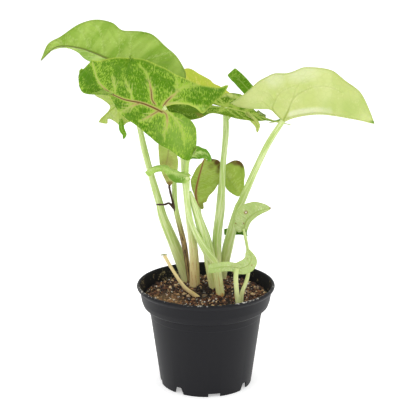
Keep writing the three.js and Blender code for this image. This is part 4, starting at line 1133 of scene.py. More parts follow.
STALK_FINISH = {
    "pale": stalk_finish("pale green stalk", (174, 198, 104), (214, 226, 164),
                         (222, 224, 160), 74, 128, streak=(196, 168, 108), streak_cover=0.36),
    "tan": stalk_finish("tan footed stalk", (180, 202, 118), (216, 226, 168),
                        (224, 200, 142), 86, 150, streak=(182, 122, 74), streak_cover=0.43,
                        node=(96, 58, 34), node_top=83),
    "green": stalk_finish("green stalk", (176, 202, 108), (220, 230, 174),
                          (220, 214, 146), 74, 124, streak=(190, 134, 70), streak_cover=0.42,
                          node=(186, 118, 54), node_top=82),
    "dry_sheath": stalk_finish("dry sheathed stalk", (170, 198, 106), (196, 214, 140),
                               (166, 128, 78), 118, 150, streak=(56, 34, 26), streak_cover=0.53,
                               node=(60, 38, 28), node_top=84, gloss=0.6),
    "straw": stalk_finish("straw stalk", (224, 202, 138), (240, 226, 176),
                          (206, 178, 118), 78, 96, streak=(170, 130, 80), streak_cover=0.42,
                          gloss=0.6),
    "straw_cap": stalk_finish("straw cap", (142, 150, 104), (176, 180, 132),
                              (142, 150, 104), 0, 1, gloss=0.7),
    "twig": stalk_finish("dry twig", (44, 32, 26), (88, 64, 46), (44, 32, 26), 0, 1, gloss=0.8),
}
print("stalk finishes:", *STALK_FINISH)

# %% [markdown]
# ## The plant
# Each leaf's stalk is a path up from the soil with a radius at each point, and its blades are a
# midrib and the angles of their halves, the left half's value first as seen from above with the
# tip ahead. A placed vein is a half, a width, how many millimetres of it are red, and its
# points. A mark is a half, a place along and out, a radius and an amount.

# %% Large leaves
SOIL_ROOT, SHALLOW_ROOT = 62, 71     # heights at which the stalks end in the soil

LEAVES = {
    "leaf_left": {
        "slot": "pale_leaf",
        "stalk": {
            "finish": "pale",
            "path": [(-15, 24, 80), (-26, 20, 112), (-35.5, 18, 137), (-39.5, 17, 155),
                (-46.3, 16, 180), (-54.2, 15, 216)],
            "radii": [5.4, 4.8, 3.8, 2.7, 2.4, 2.2, 2],
        },
        "blades": [{
            "sides": ("dark_top", "pale_under"),
            "rib": [(-63, 15, 264), (-78, 8, 273), (-99, 2, 282), (-118, 0, 283), (-131, 0, 272)],
            "roll": 38, "width": [47, 28], "lobe": [44, 30], "outline": ["tapered", "waisted"],
            "fold": [[10, 14, 12, 3], [20, 22, 25, 20]], "curl": [(-20, -25, 0), (0, -10, 0)],
            "droop": [16, 10], "wave": 0.8, "waves": 3, "phase": 1,
        }],
    },
    "leaf_front": {
        "slot": "variegated_leaf",
        "stalk": {
            "finish": "tan",
            "path": [(-9, 2, 82), (-10, -1, 115), (-14, -5, 147), (-16.5, -9, 176),
                (-20, -20, 211)],
            "radii": [4.6, 3.9, 2.7, 2.8, 2.4, 2.2],
        },
        "blades": [{
            "sides": ("dark_top", "pale_under", "dark_top"),
            "rib": [(-32, -42, 242), (-50, -47, 247), (-64, -50, 252), (-75, -46, 260),
                (-86, -36, 277)],
            "roll": -34, "width": [34, 44], "lobe": [36, 58], "outline": ["notched", "arched"],
            "fold": [[-40, -25, 0, -10], [12, 16, 10, 0]], "curl": [(-10, -10, 0), (0, 0, 0)],
            "droop": [10, -6], "wave": 0.5,
            "edge": (0.1, 1), "fineness": 1.25,
            "veins": [
                (0, 1.3, 50, [(0.01, 0.13), (0.15, 0.055), (0.26, 0.025), (0.44, 0.06),
                    (0.6, 0.095), (0.77, 0.145), (0.9, 0.08), (0.97, 0.023)]),
                (0, 1.1, 14, [(0.04, 0.11), (0.1, 0.22), (0.2, 0.418), (0.25, 0.51)]),
                (0, 1.1, 8, [(0.26, 0.02), (0.37, 0.22), (0.43, 0.4), (0.46, 0.52)]),
                (0, 1.1, 12, [(0, 0.11), (-0.094, 0.18), (-0.138, 0.41), (-0.1, 0.6),
                    (-0.137, 0.78)]),
                (0, 1, 0, [(0, 0.08), (-0.22, 0.15), (-0.515, 0.42), (-0.665, 0.725)]),
                (1, 1.2, 20, [(0.09, 0), (0.13, 0.106), (0.141, 0.26), (0.162, 0.437),
                    (0.194, 0.586), (0.234, 0.69), (0.3, 0.78)]),
                (1, 1.2, 16, [(0, 0), (-0.034, 0.105), (-0.109, 0.245), (-0.178, 0.371),
                    (-0.182, 0.583), (-0.16, 0.72)]),
                (1, 0.9, 0, [(-0.178, 0.371), (-0.274, 0.508), (-0.382, 0.571), (-0.507, 0.632)]),
                (1, 1, 6, [(0, 0), (-0.07, 0.09), (-0.226, 0.153), (-0.4, 0.14), (-0.6, 0.2)]),
                (1, 0.5, 0, [(0.35, 0), (0.37, 0.15), (0.42, 0.3), (0.5, 0.42)]),
                (1, 0.5, 0, [(0.55, 0), (0.58, 0.12), (0.64, 0.22), (0.7, 0.3)]),
            ],
            # Painted shade: darker patches where the blade lies in shadow, most on the down-turned
            # left half and in the right lobe.
            "shade_patches": [(0, -0.35, 0.02, 4, 0.5), (0, -0.55, 0, 4, 0.5), (0, 0.5, 0.2, 5, 0.6),
                (0, 0.41, 0.31, 5, 0.7), (0, 0.33, 0.4, 5, 0.6), (0, 0.54, 0.4, 6, 0.7),
                (0, 0.81, 0.45, 7, 0.6), (0, 0.74, 0.35, 6, 0.5), (0, 0.65, 0.23, 4, 0.5),
                (1, 0.59, 0.4, 12, 0.3), (1, 0.22, 0.64, 12, 0.25), (1, 0, 0.55, 8, 0.25),
                (1, -0.5, 0.5, 8, 0.4), (1, -0.72, 0.46, 8, 0.45), (1, -0.65, 0.22, 7, 0.4)],
            # The small pale spots along the right lobe's sinus show its rolled pale underside; the
            # two large ones on the left half are painted sheen.
            "pales_and_sheen": [(1, -0.25, 0.1, 1.6, 1), (1, -0.32, 0.1, 2, 1), (1, -0.4, 0.1, 2.2, 1),
                (1, -0.48, 0.11, 2.2, 1), (1, -0.56, 0.12, 1.8, 1), (0, -0.5, 0.5, 16, 0.45),
                (0, -0.1, 0.5, 12, 0.25)],
        }],
    },
    "leaf_right": {
        "slot": "pale_leaf",
        "stalk": {
            "finish": "pale",
            "path": [(13, 24, 79), (18.6, 18, 112), (26, 11, 145), (30, 9, 155), (41, 4, 183),
                (51, 2, 205)],
            "radii": [3.6, 4.5, 3.2, 3.1, 2.6, 2.5, 2.2],
        },
        "blades": [{
            "sides": ("dark_top", "light_under"),
            "rib": [(62, 0, 224), (77, -3, 228.2), (93, -4, 229.4), (115, -4, 226),
                (135, -2, 222)],
            "roll": -42, "width": [22, 49], "lobe": [14, 40], "outline": ["pointed", "domed"],
            "fold": [[34, 40, 80, 40], [30, 24, 22, 10]], "curl": [(0, 0, 0), (-20, -16, 0)],
            "droop": [-10, -24], "wave": 0.4,
            "forks": False,
            "veins": [
                (0, 0.6, 0, [(0, 0), (0.1, 0.4), (0.3, 0.7)]),
                (1, 0.9, 14, [(-0.05, 0), (-0.162, 0.26), (-0.085, 0.41), (0.034, 0.55),
                    (0.126, 0.61), (0.3, 0.68)]),
                (1, 0.9, 12, [(0, 0), (0.075, 0.156), (0.15, 0.366), (0.247, 0.49), (0.415, 0.57),
                    (0.6, 0.5)]),
                (1, 0.7, 0, [(0.04, 0.025), (0.3, 0.03), (0.6, 0.03), (0.95, 0.02)]),
                (1, 0.7, 0, [(-0.1, 0.05), (-0.2, 0.25), (-0.37, 0.445), (-0.656, 0.39)]),
                (1, 0.5, 0, [(0.15, 0.366), (0.2, 0.6), (0.33, 0.8)]),
                (1, 0.5, 0, [(-0.085, 0.41), (-0.2, 0.6), (-0.45, 0.68)]),
            ],
            "scars": [(1, 0.99, 0, 3.5, 0.9)],
            # Painted shade: the blade is darker low down near the midrib, away from the light.
            "shade_patches": [(1, 0.71, 0.2, 10, 0.7), (1, 0.5, 0.16, 8, 0.5), (1, 0.85, 0.34, 9, 0.6),
                (1, -0.2, 0.35, 7, 0.5), (1, -0.5, 0.3, 8, 0.4)],
            # Painted light: the upper part of the blade is paler where the light falls, and the row
            # of small spots along the midrib is a painted sheen.
            "pales_and_sheen": [(1, 0.25, 0.85, 9, 0.5), (1, 0.0, 0.85, 9, 0.5), *(
                (1, 0.1 + 0.03 * step, 0.08, 2.8, 0.7) for step in range(14))],
        }],
    },
}
print("large leaves:", *LEAVES)

# %% [markdown]
# ### Leaves behind and between
# One stands almost edge-on between the large ones, and three more fill the gaps behind them:
# a yellowing one, the end of a narrow green one, and a torn pale one with a hanging scrap.

# %% Leaves behind and between
LEAVES |= {
    "leaf_middle": {
        "slot": "variegated_leaf",
        "stalk": {
            "finish": "green",
            "path": [(9, 14, 80), (9, 14, 119), (12, 14, 146), (13, 15, 156), (14, 20, 182),
                (17, 24, 211)],
            "radii": [4.2, 4.1, 3.8, 2.9, 2.6, 2.1, 1.8],
        },
        "blades": [{
            "sides": ("mottled_top", "pale_under", "mottled_top"),
            "rib": [(16, 25, 230), (28, 26, 227), (41, 28, 223), (56, 31, 218), (71, 34, 214)],
            "roll": -4, "width": [36, 44], "lobe": [30, 56], "outline": ["scrolled", "bulging"],
            "fold": [[20, 30, 10, 0], [-14, -12, -10, 0]], "droop": [0, 0], "wave": 0.4,
            "fineness": 0.85,
            "pales_and_sheen": [(0, -0.28, 0.35, 4, 1), (0, -0.085, 0.5, 4.5, 1), (0, 0.08, 0.6, 5, 1),
                (0, 0.215, 0.65, 4.5, 1)],
            # Painted shadow: the right lobe is darkened where it lies in the hollow under the front
            # leaf.
            "shade_patches": [(1, -0.83, 0.72, 6, 1), (1, -0.69, 0.74, 6, 1), (1, -0.54, 0.76, 6, 1),
                (1, -0.44, 0.73, 6, 0.8)],
            "scars": [(0, 0.3, 0.6, 2.2, 0.7), (0, 0.25, 0.45, 2, 0.5), (0, -0.28, 0.3, 1.4, 0.5),
                (1, -0.42, 0.8, 4, 0.5)],
        }, {
            "sides": ("withered", "withered"),
            "rib": [(34, 14, 226), (38, 12, 222), (42, 11, 217), (42, 11, 211)],
            "up": (0, 1, 0), "width": [2.5, 2.5], "lobe": [2, 2], "outline": ["oval", "oval"],
            "wave": 0.2,
        }],
    },
    "leaf_back": {
        "slot": "yellow_leaf",
        "stalk": {
            "finish": "pale",
            "path": [(4, 27, 82), (9, 33, 128), (13, 40, 170), (16, 52, 205), (15, 59, 225)],
            "radii": [2, 2, 1.7, 1.6, 1.5, 1.5],
        },
        "blades": [{
            "sides": ("yellow_top", "yellow_top"),
            "rib": [(10, 62, 236), (-2, 62, 240), (-14, 61, 245), (-29, 59, 248), (-47, 57, 250)],
            "roll": -30, "width": [12, 18], "lobe": [16, 16], "outline": ["pointed", "ribbon"],
            "droop": [20, 20], "wave": 0.4,
        }],
    },
    "leaf_behind": {
        "slot": "young_leaf",
        "stalk": {
            "finish": "pale",
            "path": [(8, 36, 80), (10, 42, 125), (14, 50, 170), (17, 57, 205), (18.5, 58.5, 213),
                (26, 58, 220), (38, 54, 223)],
            "radii": [1.9, 1.9, 1.6, 1.5, 1.4, 1.4, 1.4, 1.4],
        },
        "blades": [{
            "sides": ("fresh_top", "pale_under"),
            "rib": [(43, 48.4, 232.4), (36, 47, 240), (29, 45, 248), (21, 43, 256)],
            "up": (0, -1, 0), "width": [5, 5], "lobe": [6, 6], "outline": ["blunt", "blunt"],
            "wave": 0.3,
        }],
    },
    "leaf_low": {
        "slot": "yellow_leaf",
        "stalk": {
            "finish": "pale",
            "path": [(-17, 35, 79), (-27, 30, 110), (-38, 26, 140), (-48, 25, 178), (-54, 25, 208)],
            "radii": [2, 2, 1.8, 1.6, 1.5, 1.5],
        },
        "blades": [{
            "sides": ("torn_pale", "torn_pale"),
            "rib": [(-50, 26, 236), (-64, 25, 235), (-76, 23, 229), (-88, 20, 218)],
            "up": (0, 1, 0), "width": [14, 12], "lobe": [12, 12],
            "outline": ["torn_above", "torn_below"], "droop": [0, 0], "wave": 0.5,
        }, {
            "sides": ("fresh_top", "fresh_top"),
            "rib": [(-70, 24, 218), (-69, 23, 211), (-67, 23, 207), (-68, 23, 203)],
            "up": (0, 1, 0), "width": [2.2, 2.2], "lobe": [2, 2], "outline": ["oval", "oval"],
            "wave": 0.2,
        }],
    },
}
print("designs so far:", len(LEAVES))

# %% [markdown]
# ### Young and withered leaves
# A young leaf arches over its winged sheath, an old one has dried up with two bare twigs beside
# it, and a soft two-lobed one hangs between the stalks.

# %% Young and withered leaves
LEAVES |= {
    "leaf_curled": {
        "slot": "young_leaf",
        "stalk": {
            "finish": "green",
            "path": [(12, -14, 81), (8, -13, 105), (0, -13, 118), (-11, -14, 140), (-15, -17, 164)],
            "radii": [3.5, 3.5, 3.1, 2, 2.4, 2.6],
        },
        "sheath": {
            "path": [(6, -4, 84), (2.5, -6, 104), (-0.2, -7, 122), (-4.7, -9, 138),
                (-8.6, -12, 154), (-13, -16, 168)],
            "radii": [3.4, 3.3, 3.2, 3.3, 3, 1.8],
        },
        "blades": [{
            "sides": ("arc_top", "arc_top"),
            "rib": [(-15, -20, 183), (-24, -22, 186), (-32, -24, 191), (-41, -26, 191),
                (-48, -26, 187)],
            "width": [8, 4], "lobe": [4, 4], "outline": ["hanging", "pointed"],
            "fold": [[-50, -60, -60, -70], [30, 20, 20, 20]], "wave": 0.5, "fineness": 1.8,
            "veins": [(0, 0.6, 0, [(0, 0), (0.5, 0.3), (0.95, 0.1)]),
                (1, 0.6, 0, [(0, 0), (0.5, 0.3), (0.95, 0.1)])],
            # Painted shade on the down-folded half.
            "shade_patches": [(0, 0.3, 0.7, 3.5, 0.8), (0, 0.2, 1, 5, 0.9), (0, 0.12, 0.5, 4, 0.8)],
        }, {
            "sides": ("arc_top", "arc_top"),
            # Painted shade inside the curled blade.
            "shade_patches": [(half, along, out, reach, 1) for half in (0, 1) for along, out, reach in
                ((0.5, 0.3, 3), (0.62, 0.7, 5), (0.8, 0.6, 6), (0.95, 0.3, 5))],
            "veins": [(0, 0.4, 0, [(0, 0), (0.5, 0.1), (0.9, 0.1)]),
                (1, 0.4, 0, [(0, 0), (0.5, 0.1), (0.9, 0.1)])],
            "rib": [(-16, -18, 182), (-13.5, -19.5, 195.5), (-7.5, -21, 200.5), (-1, -20, 201),
                (5, -19, 196)],
            "up": (0, -1, 0), "width": [5, 5], "lobe": [4, 4], "outline": ["hooked", "spooned"],
            "wave": 0.2,
        }],
    },
    "leaf_withered": {
        "slot": "yellow_leaf",
        "stalk": {
            "finish": "dry_sheath",
            "path": [(-14, 14, 83), (-18, 14, 114), (-25, 13, 147), (-26, 12, 168), (-27, 9, 189)],
            "radii": [1.7, 2.4, 2.2, 2, 1.7, 1.4],
        },
        "twigs": [{
            "path": [(-25, 13, 142), (-29, 8, 161), (-30, 3, 169)],
            "radii": [0.9, 1.2, 0.8, 1.1, 0.8, 1.1, 0.7],
        }, {
            "path": [(-25, 13, 145), (-30, 9, 152), (-34, 9, 151), (-41, 9, 151)],
            "radii": [0.9, 1.3, 1.1, 0.8, 1.1, 0.7, 0.9, 0.6],
        }],
        "blades": [{
            "sides": ("withered", "withered"),
            "rib": [(-28, 4, 206), (-31, 2, 193), (-32, 2, 181), (-29, 3, 168)],
            "up": (0, -1, 0), "width": [9, 6], "lobe": [4, 4], "outline": ["swollen", "flared"],
            "wave": 0.4, "fineness": 1.5,
            "scars": [(0, 0.45, 0.1, 5, 0.35), (1, 0.5, 0.1, 5, 0.35), (0, 0.95, 0.05, 3, 0.9),
                (1, 0.95, 0.05, 3, 0.9), (1, 0.8, 0.2, 3, 0.4)],
        }],
    },
    "leaf_drooping": {
        "slot": "young_leaf",
        "stalk": {
            "finish": "green",
            "path": [(10, 6, 81), (3, 8, 117), (-5, 15, 138)],
            "radii": [2.6, 2.6, 2.4, 1.8],
        },
        "blades": [{
            "sides": ("young_under", "young_under"),
            "rib": [(-6, 23, 144), (-8, 25, 156), (-6, 27, 168), (-1, 27, 187)],
            "up": (0, 1, 0), "width": [36, 7], "lobe": [1, 1], "outline": ["frayed", "slender"],
            "fold": [[-10, -10, -10, 0], [10, 10, 10, 0]], "wave": 0.4,
            "scars": [(0, 1, 0.18, 2.5, 1), (0, 0.95, 0.31, 3, 1), (0, 0.88, 0.42, 3, 1),
                (0, 0.8, 0.4, 2.4, 0.6), (0, 0.86, 0.2, 3, 0.4), (0, 0.05, 0.1, 3, 0.4)],
        }, {
            "sides": ("young_under", "young_under"),
            "rib": [(6, 27, 174), (17, 28, 172), (24, 28, 165), (29, 27, 154)],
            "up": (0, 1, 0), "width": [10, 10], "lobe": [4, 4], "outline": ["trimmed", "crowned"],
            "wave": 0.4, "fineness": 1.5,
            "veins": [(0, 0.6, 0, [(0, 0), (0.5, 0.1), (0.9, 0.05)]),
                (1, 0.6, 0, [(0, 0), (0.5, 0.1), (0.9, 0.05)])],
            "scars": [(0, 0.24, 0.99, 2.2, 1), (0, 0.3, 1.24, 2.6, 1), (0, 0.38, 1.15, 2.2, 0.8),
                (0, 0.43, 1.4, 2.6, 1), (0, 0.5, 1.3, 2.4, 0.9), (1, 0.24, 1, 2.2, 1),
                (1, 0.3, 1.24, 2.6, 1), (1, 0.38, 1.2, 2.2, 0.8), (1, 0.43, 1.4, 2.6, 1),
                (1, 0.5, 1.45, 2.4, 0.9)],
        }],
    },
}
print("designs so far:", len(LEAVES))

# %% [markdown]
# ### Seedlings and a dead stalk
# Two small pale leaves stand low over the soil with shallow roots. One has a hole in it. The
# dry stump of an older stalk leans the other way, and carries no leaf any more.

# %% Seedlings and a dead stalk
LEAVES |= {
    "seedling_upper": {
        "slot": "pale_leaf",
        "stalk": {
            "finish": "pale",
            "path": [(28.5, -30, 79), (29.5, -29, 88), (33, -26, 97), (34.5, -22, 105),
                (34, -14, 119)],
            "radii": [1.7, 1.7, 1.6, 1.5, 1.3, 1.2],
            "root": SHALLOW_ROOT,
        },
        "blades": [{
            "sides": ("seedling", "seedling"),
            "rib": [(31, -4, 134), (34, -6, 143), (42, -8, 150), (53, -8, 153)],
            "up": (0, 1, 0), "width": [4, 11], "lobe": [3, 5], "outline": ["oval", "oval"],
            "wave": 0.4, "fineness": 2.4,
            "holes": [(1, 0.413, 0.432, 0.9)],
            "scars": [(1, 0.413, 0.432, 1.6, 0.9), (1, 0.036, 0.689, 0.8, 0.8),
                (1, 0.151, 0.102, 0.8, 0.8), (0, 1, 0, 1.5, 0.8), (1, 1, 0, 1.5, 0.8)],
        }, {
            "sides": ("deep_top", "deep_top"),
            "rib": [(33, -6, 131), (34, 8, 127), (29, 23, 124), (15.5, 26, 122.5)],
            "up": (1, 0, 0), "width": [3, 3], "lobe": [1, 1], "outline": ["blunt", "blunt"],
            "wave": 0.2,
        }],
    },
    "seedling_lower": {
        "slot": "pale_leaf",
        "stalk": {
            "finish": "pale",
            "path": [(26, -36, 80), (24, -36, 101)],
            "radii": [2, 1.9, 1.7],
            "root": SHALLOW_ROOT,
        },
        "blades": [{
            "sides": ("seedling", "seedling"),
            "rib": [(25, -36, 111), (18, -36, 112), (11, -36, 111.5), (2, -36, 110)],
            "up": (0, 1, 0), "width": [4, 4], "lobe": [4, 4], "outline": ["blunt", "blunt"],
            "wave": 0.2, "fineness": 2,
            "pales_and_sheen": [(0, 0.4, 0.5, 3, 0.6), (1, 0.7, 0.4, 2, 0.5)],
        }, {
            "sides": ("seedling", "seedling"),
            "rib": [(24, -36, 110), (32, -35, 112), (36, -34, 117), (34, -33, 126)],
            "up": (0, 1, 0), "width": [6.5, 6], "lobe": [3, 3], "outline": ["oval", "oval"],
            "wave": 0.3, "fineness": 2,
            "scars": [(0, 0.5, 0.4, 0.7, 0.6), (1, 0.6, 0.5, 0.6, 0.6)],
        }],
    },
    "dead_stalk": {
        "slot": "dry_stalk",
        "stalk": {
            "finish": "straw",
            "path": [(-7, -16, 79), (-17.5, -14, 87), (-26.5, -12, 100), (-34, -10, 113)],
            "radii": [2, 1.6, 1.3, 1.5],
            "root": SHALLOW_ROOT,
        },
        "twigs": [{
            "finish": "straw_cap",
            "path": [(-37.2, -10, 113.2), (-34.2, -10, 113.7), (-31.4, -10, 113.5)],
            "radii": [0.4, 0.7, 0.4],
        }],
        "blades": [],
    },
}
print("designs:", len(LEAVES))

# %% [markdown]
# ## Nursery pot
# The pot is blow-thin moulded plastic: a rolled lip, a wide collar that lets pots stack, a
# tapering wall, and a foot that stands on a skirt with drain notches. Everything but the
# notches is round, so a profile of the wall is turned about the axis like clay on a wheel. Its
# corners are rounded first, because moulded plastic has none that are sharp, and the highlights
# on those small radii are what makes it read as plastic. The notches are then cut away.

# %% Pot sizes
POT_HEIGHT, POT_WALL = 86, 1.3
RIM_RADIUS, BASE_RADIUS, TAPER = 57.5, 38.4, 0.134
LIP_THICKNESS = 2.4
COLLAR_HEIGHT, COLLAR_TOP, COLLAR_FOOT = 19.2, 54.9, 51.6
FLOOR_THICKNESS, FLOOR_RISE, PAD_RADIUS, RAMP_RADIUS = 1.4, 5, 18, 24
COLLAR_LINE = POT_HEIGHT - COLLAR_HEIGHT
POT_SIDES = 192
NOTCH_TURNS = (0, 90, 180, 270)
TALL_NOTCH = {"height": 6, "foot": 9, "top": 5, "angle": -35}
LOW_NOTCH = {"height": 2.9, "foot": 10, "top": 10, "angle": 10.5}
DRAIN_SLOT = {"from": 29, "to": 35.5, "width": 5}


def wall_radius(height):
    return BASE_RADIUS + TAPER * height


def inner_radius(height):
    return wall_radius(height) - POT_WALL


print(f"pot: {POT_HEIGHT} high, {2 * RIM_RADIUS:.0f} across the rim, {2 * BASE_RADIUS:.0f} below")

# %% [markdown]
# ### Profile of the wall
# The profile starts under the raised floor, runs out to the skirt and up the outside, over the
# lip, and down the inside to the floor's top. The two ends are closed flat.

# %% Pot profile
FLOOR_TOP = FLOOR_RISE + FLOOR_THICKNESS
POT_PROFILE = [
    (PAD_RADIUS, 0), (RAMP_RADIUS, FLOOR_RISE), (inner_radius(FLOOR_RISE), FLOOR_RISE),
    (inner_radius(0), 0), (BASE_RADIUS, 0),
    (wall_radius(COLLAR_LINE - 7), COLLAR_LINE - 7),
    (wall_radius(COLLAR_LINE - 6.6) + 0.25, COLLAR_LINE - 6.6),
    (wall_radius(COLLAR_LINE) + 0.25, COLLAR_LINE),
    (COLLAR_FOOT - 1.2, COLLAR_LINE + 0.2), (COLLAR_FOOT + 0.6, COLLAR_LINE + 1.8),
    (COLLAR_FOOT + 2, COLLAR_LINE + 6), (COLLAR_TOP, POT_HEIGHT - 5),
    (RIM_RADIUS - 0.5, POT_HEIGHT - 3), (RIM_RADIUS, POT_HEIGHT - 1.5),
    (RIM_RADIUS - 0.8, POT_HEIGHT), (RIM_RADIUS - LIP_THICKNESS + 0.4, POT_HEIGHT),
    (RIM_RADIUS - LIP_THICKNESS - 0.2, POT_HEIGHT - 1),
    (COLLAR_FOOT + 2 - POT_WALL, COLLAR_LINE + 6),
    (COLLAR_FOOT + 0.2 - POT_WALL, COLLAR_LINE + 2.6),
    (inner_radius(COLLAR_LINE) + 0.8, COLLAR_LINE + 1.2),
    (inner_radius(COLLAR_LINE), COLLAR_LINE - 0.6),
    (inner_radius(FLOOR_TOP), FLOOR_TOP), (RAMP_RADIUS + 0.6, FLOOR_TOP),
    (PAD_RADIUS + 0.6, FLOOR_THICKNESS),
]
print("pot profile:", len(POT_PROFILE), "corners")


# %% Turning a profile
def rounded(profile, radius, steps=4):
    """The profile with each corner between its ends replaced by a short curve."""
    points = [np.array(point, float) for point in profile]
    smooth = [points[0]]
    for before, corner, after in zip(points, points[1:], points[2:]):
        reach = min(radius, 0.45 * math.dist(before, corner), 0.45 * math.dist(corner, after))
        start = corner + reach * unit(before - corner)
        end = corner + reach * unit(after - corner)
        for t in np.linspace(0, 1, steps):
            smooth.append((1 - t) ** 2 * start + 2 * t * (1 - t) * corner + t ** 2 * end)
    return smooth + [points[-1]]


def ring_faces(shape, rings):
    """Faces from each ring of points to the next, and a flat one over either end."""
    for low, high in zip(rings, rings[1:]):
        for side in range(len(low)):
            after = (side + 1) % len(low)
            shape.faces.new((low[side], low[after], high[after], high[side]))
    shape.faces.new(reversed(rings[0]))
    shape.faces.new(rings[-1])


def finished_mesh(name, shape):
    mesh = bpy.data.meshes.new(name)
    shape.to_mesh(mesh)
    shape.free()
    return mesh


def turned_mesh(name, profile, sides):
    """A profile turned about the axis into a closed mesh."""
    shape = bmesh.new()
    rings = []
    angles = [2 * math.pi * side / sides for side in range(sides)]
    for radius, height in profile:
        rings.append([shape.verts.new((MM * radius * math.cos(angle), MM * radius * math.sin(angle),
                                       MM * height)) for angle in angles])
    ring_faces(shape, rings)
    bmesh.ops.recalc_face_normals(shape, faces=shape.faces)
    return finished_mesh(name, shape)


print("turning tools ready,", POT_SIDES, "sides to a ring")


# %% Cutting holes
def wedge(angle, corners, start, end):
    """A closed block with this outline across and up, set from start to end from the axis."""
    turn = math.radians(angle)
    across = np.array([math.cos(turn), math.sin(turn), 0])
    outward = np.array([math.sin(turn), -math.cos(turn), 0])
    shape = bmesh.new()
    ends = []
    for reach in (start, end):
        ends.append([shape.verts.new(MM * (across * x + outward * reach + np.array([0, 0, z])))
                     for x, z in corners])
    ring_faces(shape, ends)
    bmesh.ops.recalc_face_normals(shape, faces=shape.faces)
    return finished_mesh("wedge", shape)


def cut(piece, meshes):
    """The piece less these meshes, which are joined to one cutter first."""
    shape = bmesh.new()
    for mesh in meshes:
        shape.from_mesh(mesh)
    cutter = place_in_scene("cutter", finished_mesh("cutter", shape))
    modifier = piece.modifiers.new("cut", "BOOLEAN")
    modifier.operation, modifier.solver, modifier.object = "DIFFERENCE", "EXACT", cutter
    evaluated = piece.evaluated_get(bpy.context.evaluated_depsgraph_get())
    mesh = bpy.data.meshes.new_from_object(evaluated)
    piece.modifiers.clear()
    piece.data = mesh
    bpy.data.objects.remove(cutter)


print("one cut takes away all blocks of a kind")

# %% [markdown]
# ### Pot plastic
# Black plastic is never quite black. Fine scuffs grey it, the lip's top is painted paler towards
# the front, and dried splashes of mix stick to the inner face above the soil.

# %% Pot finish
wear, given, result = new_tree(
    "ShaderNodeTree", "dust and scuffs",
    [("Size", FLOAT, 300.0), ("Cover", FLOAT, 0.3)], [("Mask", FLOAT)])
place = add(wear, "ShaderNodeTexCoord").outputs["Object"]
grain = noise(wear, place, given["Size"], detail=4, roughness=0.7)
cloud = noise(wear, place, 28.0, detail=2)
level = calc(wear, "ADD", grain, calc(wear, "MULTIPLY", calc(wear, "SUBTRACT", cloud, 0.5), 0.5))
high = calc(wear, "SUBTRACT", 1.0, given["Cover"])
wire(wear, result["Mask"], soft_step(wear, level, high, calc(wear, "ADD", high, 0.08)))

pot_plastic, tree, shader = new_material("satin black plastic")
place = add(tree, "ShaderNodeTexCoord").outputs["Object"]
height = add(tree, "ShaderNodeSeparateXYZ", {0: place}).outputs["Z"]
flat_place = add(tree, "ShaderNodeVectorMath", {0: place, 1: (1, 1, 0)},
                 operation="MULTIPLY").outputs[0]
from_axis = add(tree, "ShaderNodeVectorMath", {0: flat_place}, operation="LENGTH").outputs["Value"]
scuffs = place_group(tree, wear, {"Size": 900.0, "Cover": 0.34})["Mask"]
lip_specks = place_group(tree, wear, {"Size": 350.0, "Cover": 0.46})["Mask"]
front = calc(tree, "SUBTRACT", 1.0, soft_step(
    tree, add(tree, "ShaderNodeSeparateXYZ", {0: place}).outputs["Y"], -30 * MM, 5 * MM))
rim_top = soft_step(tree, height, (POT_HEIGHT - 1.0) * MM, (POT_HEIGHT - 0.2) * MM)
# The lip's top is painted paler towards the front.
pale_front_lip = calc(tree, "MULTIPLY", calc(tree, "MULTIPLY", rim_top, lip_specks), front)
debris = place_group(tree, wear, {"Size": 260.0, "Cover": 0.45})["Mask"]
leaned = calc(tree, "SUBTRACT", from_axis, calc(tree, "MULTIPLY", height, 0.19))
inner_face = calc(tree, "MULTIPLY",
                  soft_step(tree, height, (COLLAR_LINE + 5) * MM, (COLLAR_LINE + 7) * MM),
                  calc(tree, "SUBTRACT", 1.0, soft_step(tree, leaned, 38.7 * MM, 38.9 * MM)))
colour = mixed(tree, calc(tree, "MULTIPLY", scuffs, 0.12), paint(22, 22, 26), paint(54, 54, 58))
colour = mixed(tree, calc(tree, "MULTIPLY", pale_front_lip, 0.85), colour, paint(206, 202, 194))
colour = mixed(tree, calc(tree, "MULTIPLY", calc(tree, "MULTIPLY", inner_face, debris), 0.8),
               colour, paint(150, 134, 104))
wire(tree, shader["Base Color"], colour)
wire(tree, shader["Roughness"], calc(tree, "ADD", 0.5, calc(tree, "MULTIPLY", scuffs, 0.15)))
shader["Specular IOR Level"].default_value = 0.18
skin = noise(tree, place, 1500, detail=2)
bump = add(tree, "ShaderNodeBump", {"Strength": 0.12, "Distance": 0.1 * MM, "Height": skin})
wire(tree, shader["Normal"], bump.outputs["Normal"])
print("pot plastic:", len(tree.nodes), "nodes")

# %% Make the pot
CORNER_RADIUS = 0.5
NOTCH_INWARD, NOTCH_OUTWARD, SLOT_DEPTH = 5, 7, 2.8     # how far the cutters reach past the wall

pot_mesh = turned_mesh("nursery_pot", rounded(POT_PROFILE, CORNER_RADIUS), POT_SIDES)
pot = place_in_scene("nursery_pot", pot_mesh)
notches, slots = [], []
for turn in NOTCH_TURNS:
    for notch in (TALL_NOTCH, LOW_NOTCH):
        foot, top, height = notch["foot"] / 2, notch["top"] / 2, notch["height"]
        corners = [(-foot, -1), (foot, -1), (foot, 0), (top, height), (-top, height), (-foot, 0)]
        notches.append(wedge(notch["angle"] + turn, corners,
                             BASE_RADIUS - NOTCH_INWARD, BASE_RADIUS + NOTCH_OUTWARD))
    half = DRAIN_SLOT["width"] / 2
    low, high = FLOOR_RISE - SLOT_DEPTH, FLOOR_RISE + SLOT_DEPTH
    corners = [(-half, low), (half, low), (half, high), (-half, high)]
    slots.append(wedge(TALL_NOTCH["angle"] + turn, corners, DRAIN_SLOT["from"], DRAIN_SLOT["to"]))
cut(pot, notches)            # a slot meets a notch, so they are cut one after the other
cut(pot, slots)
pot.data.materials.clear()
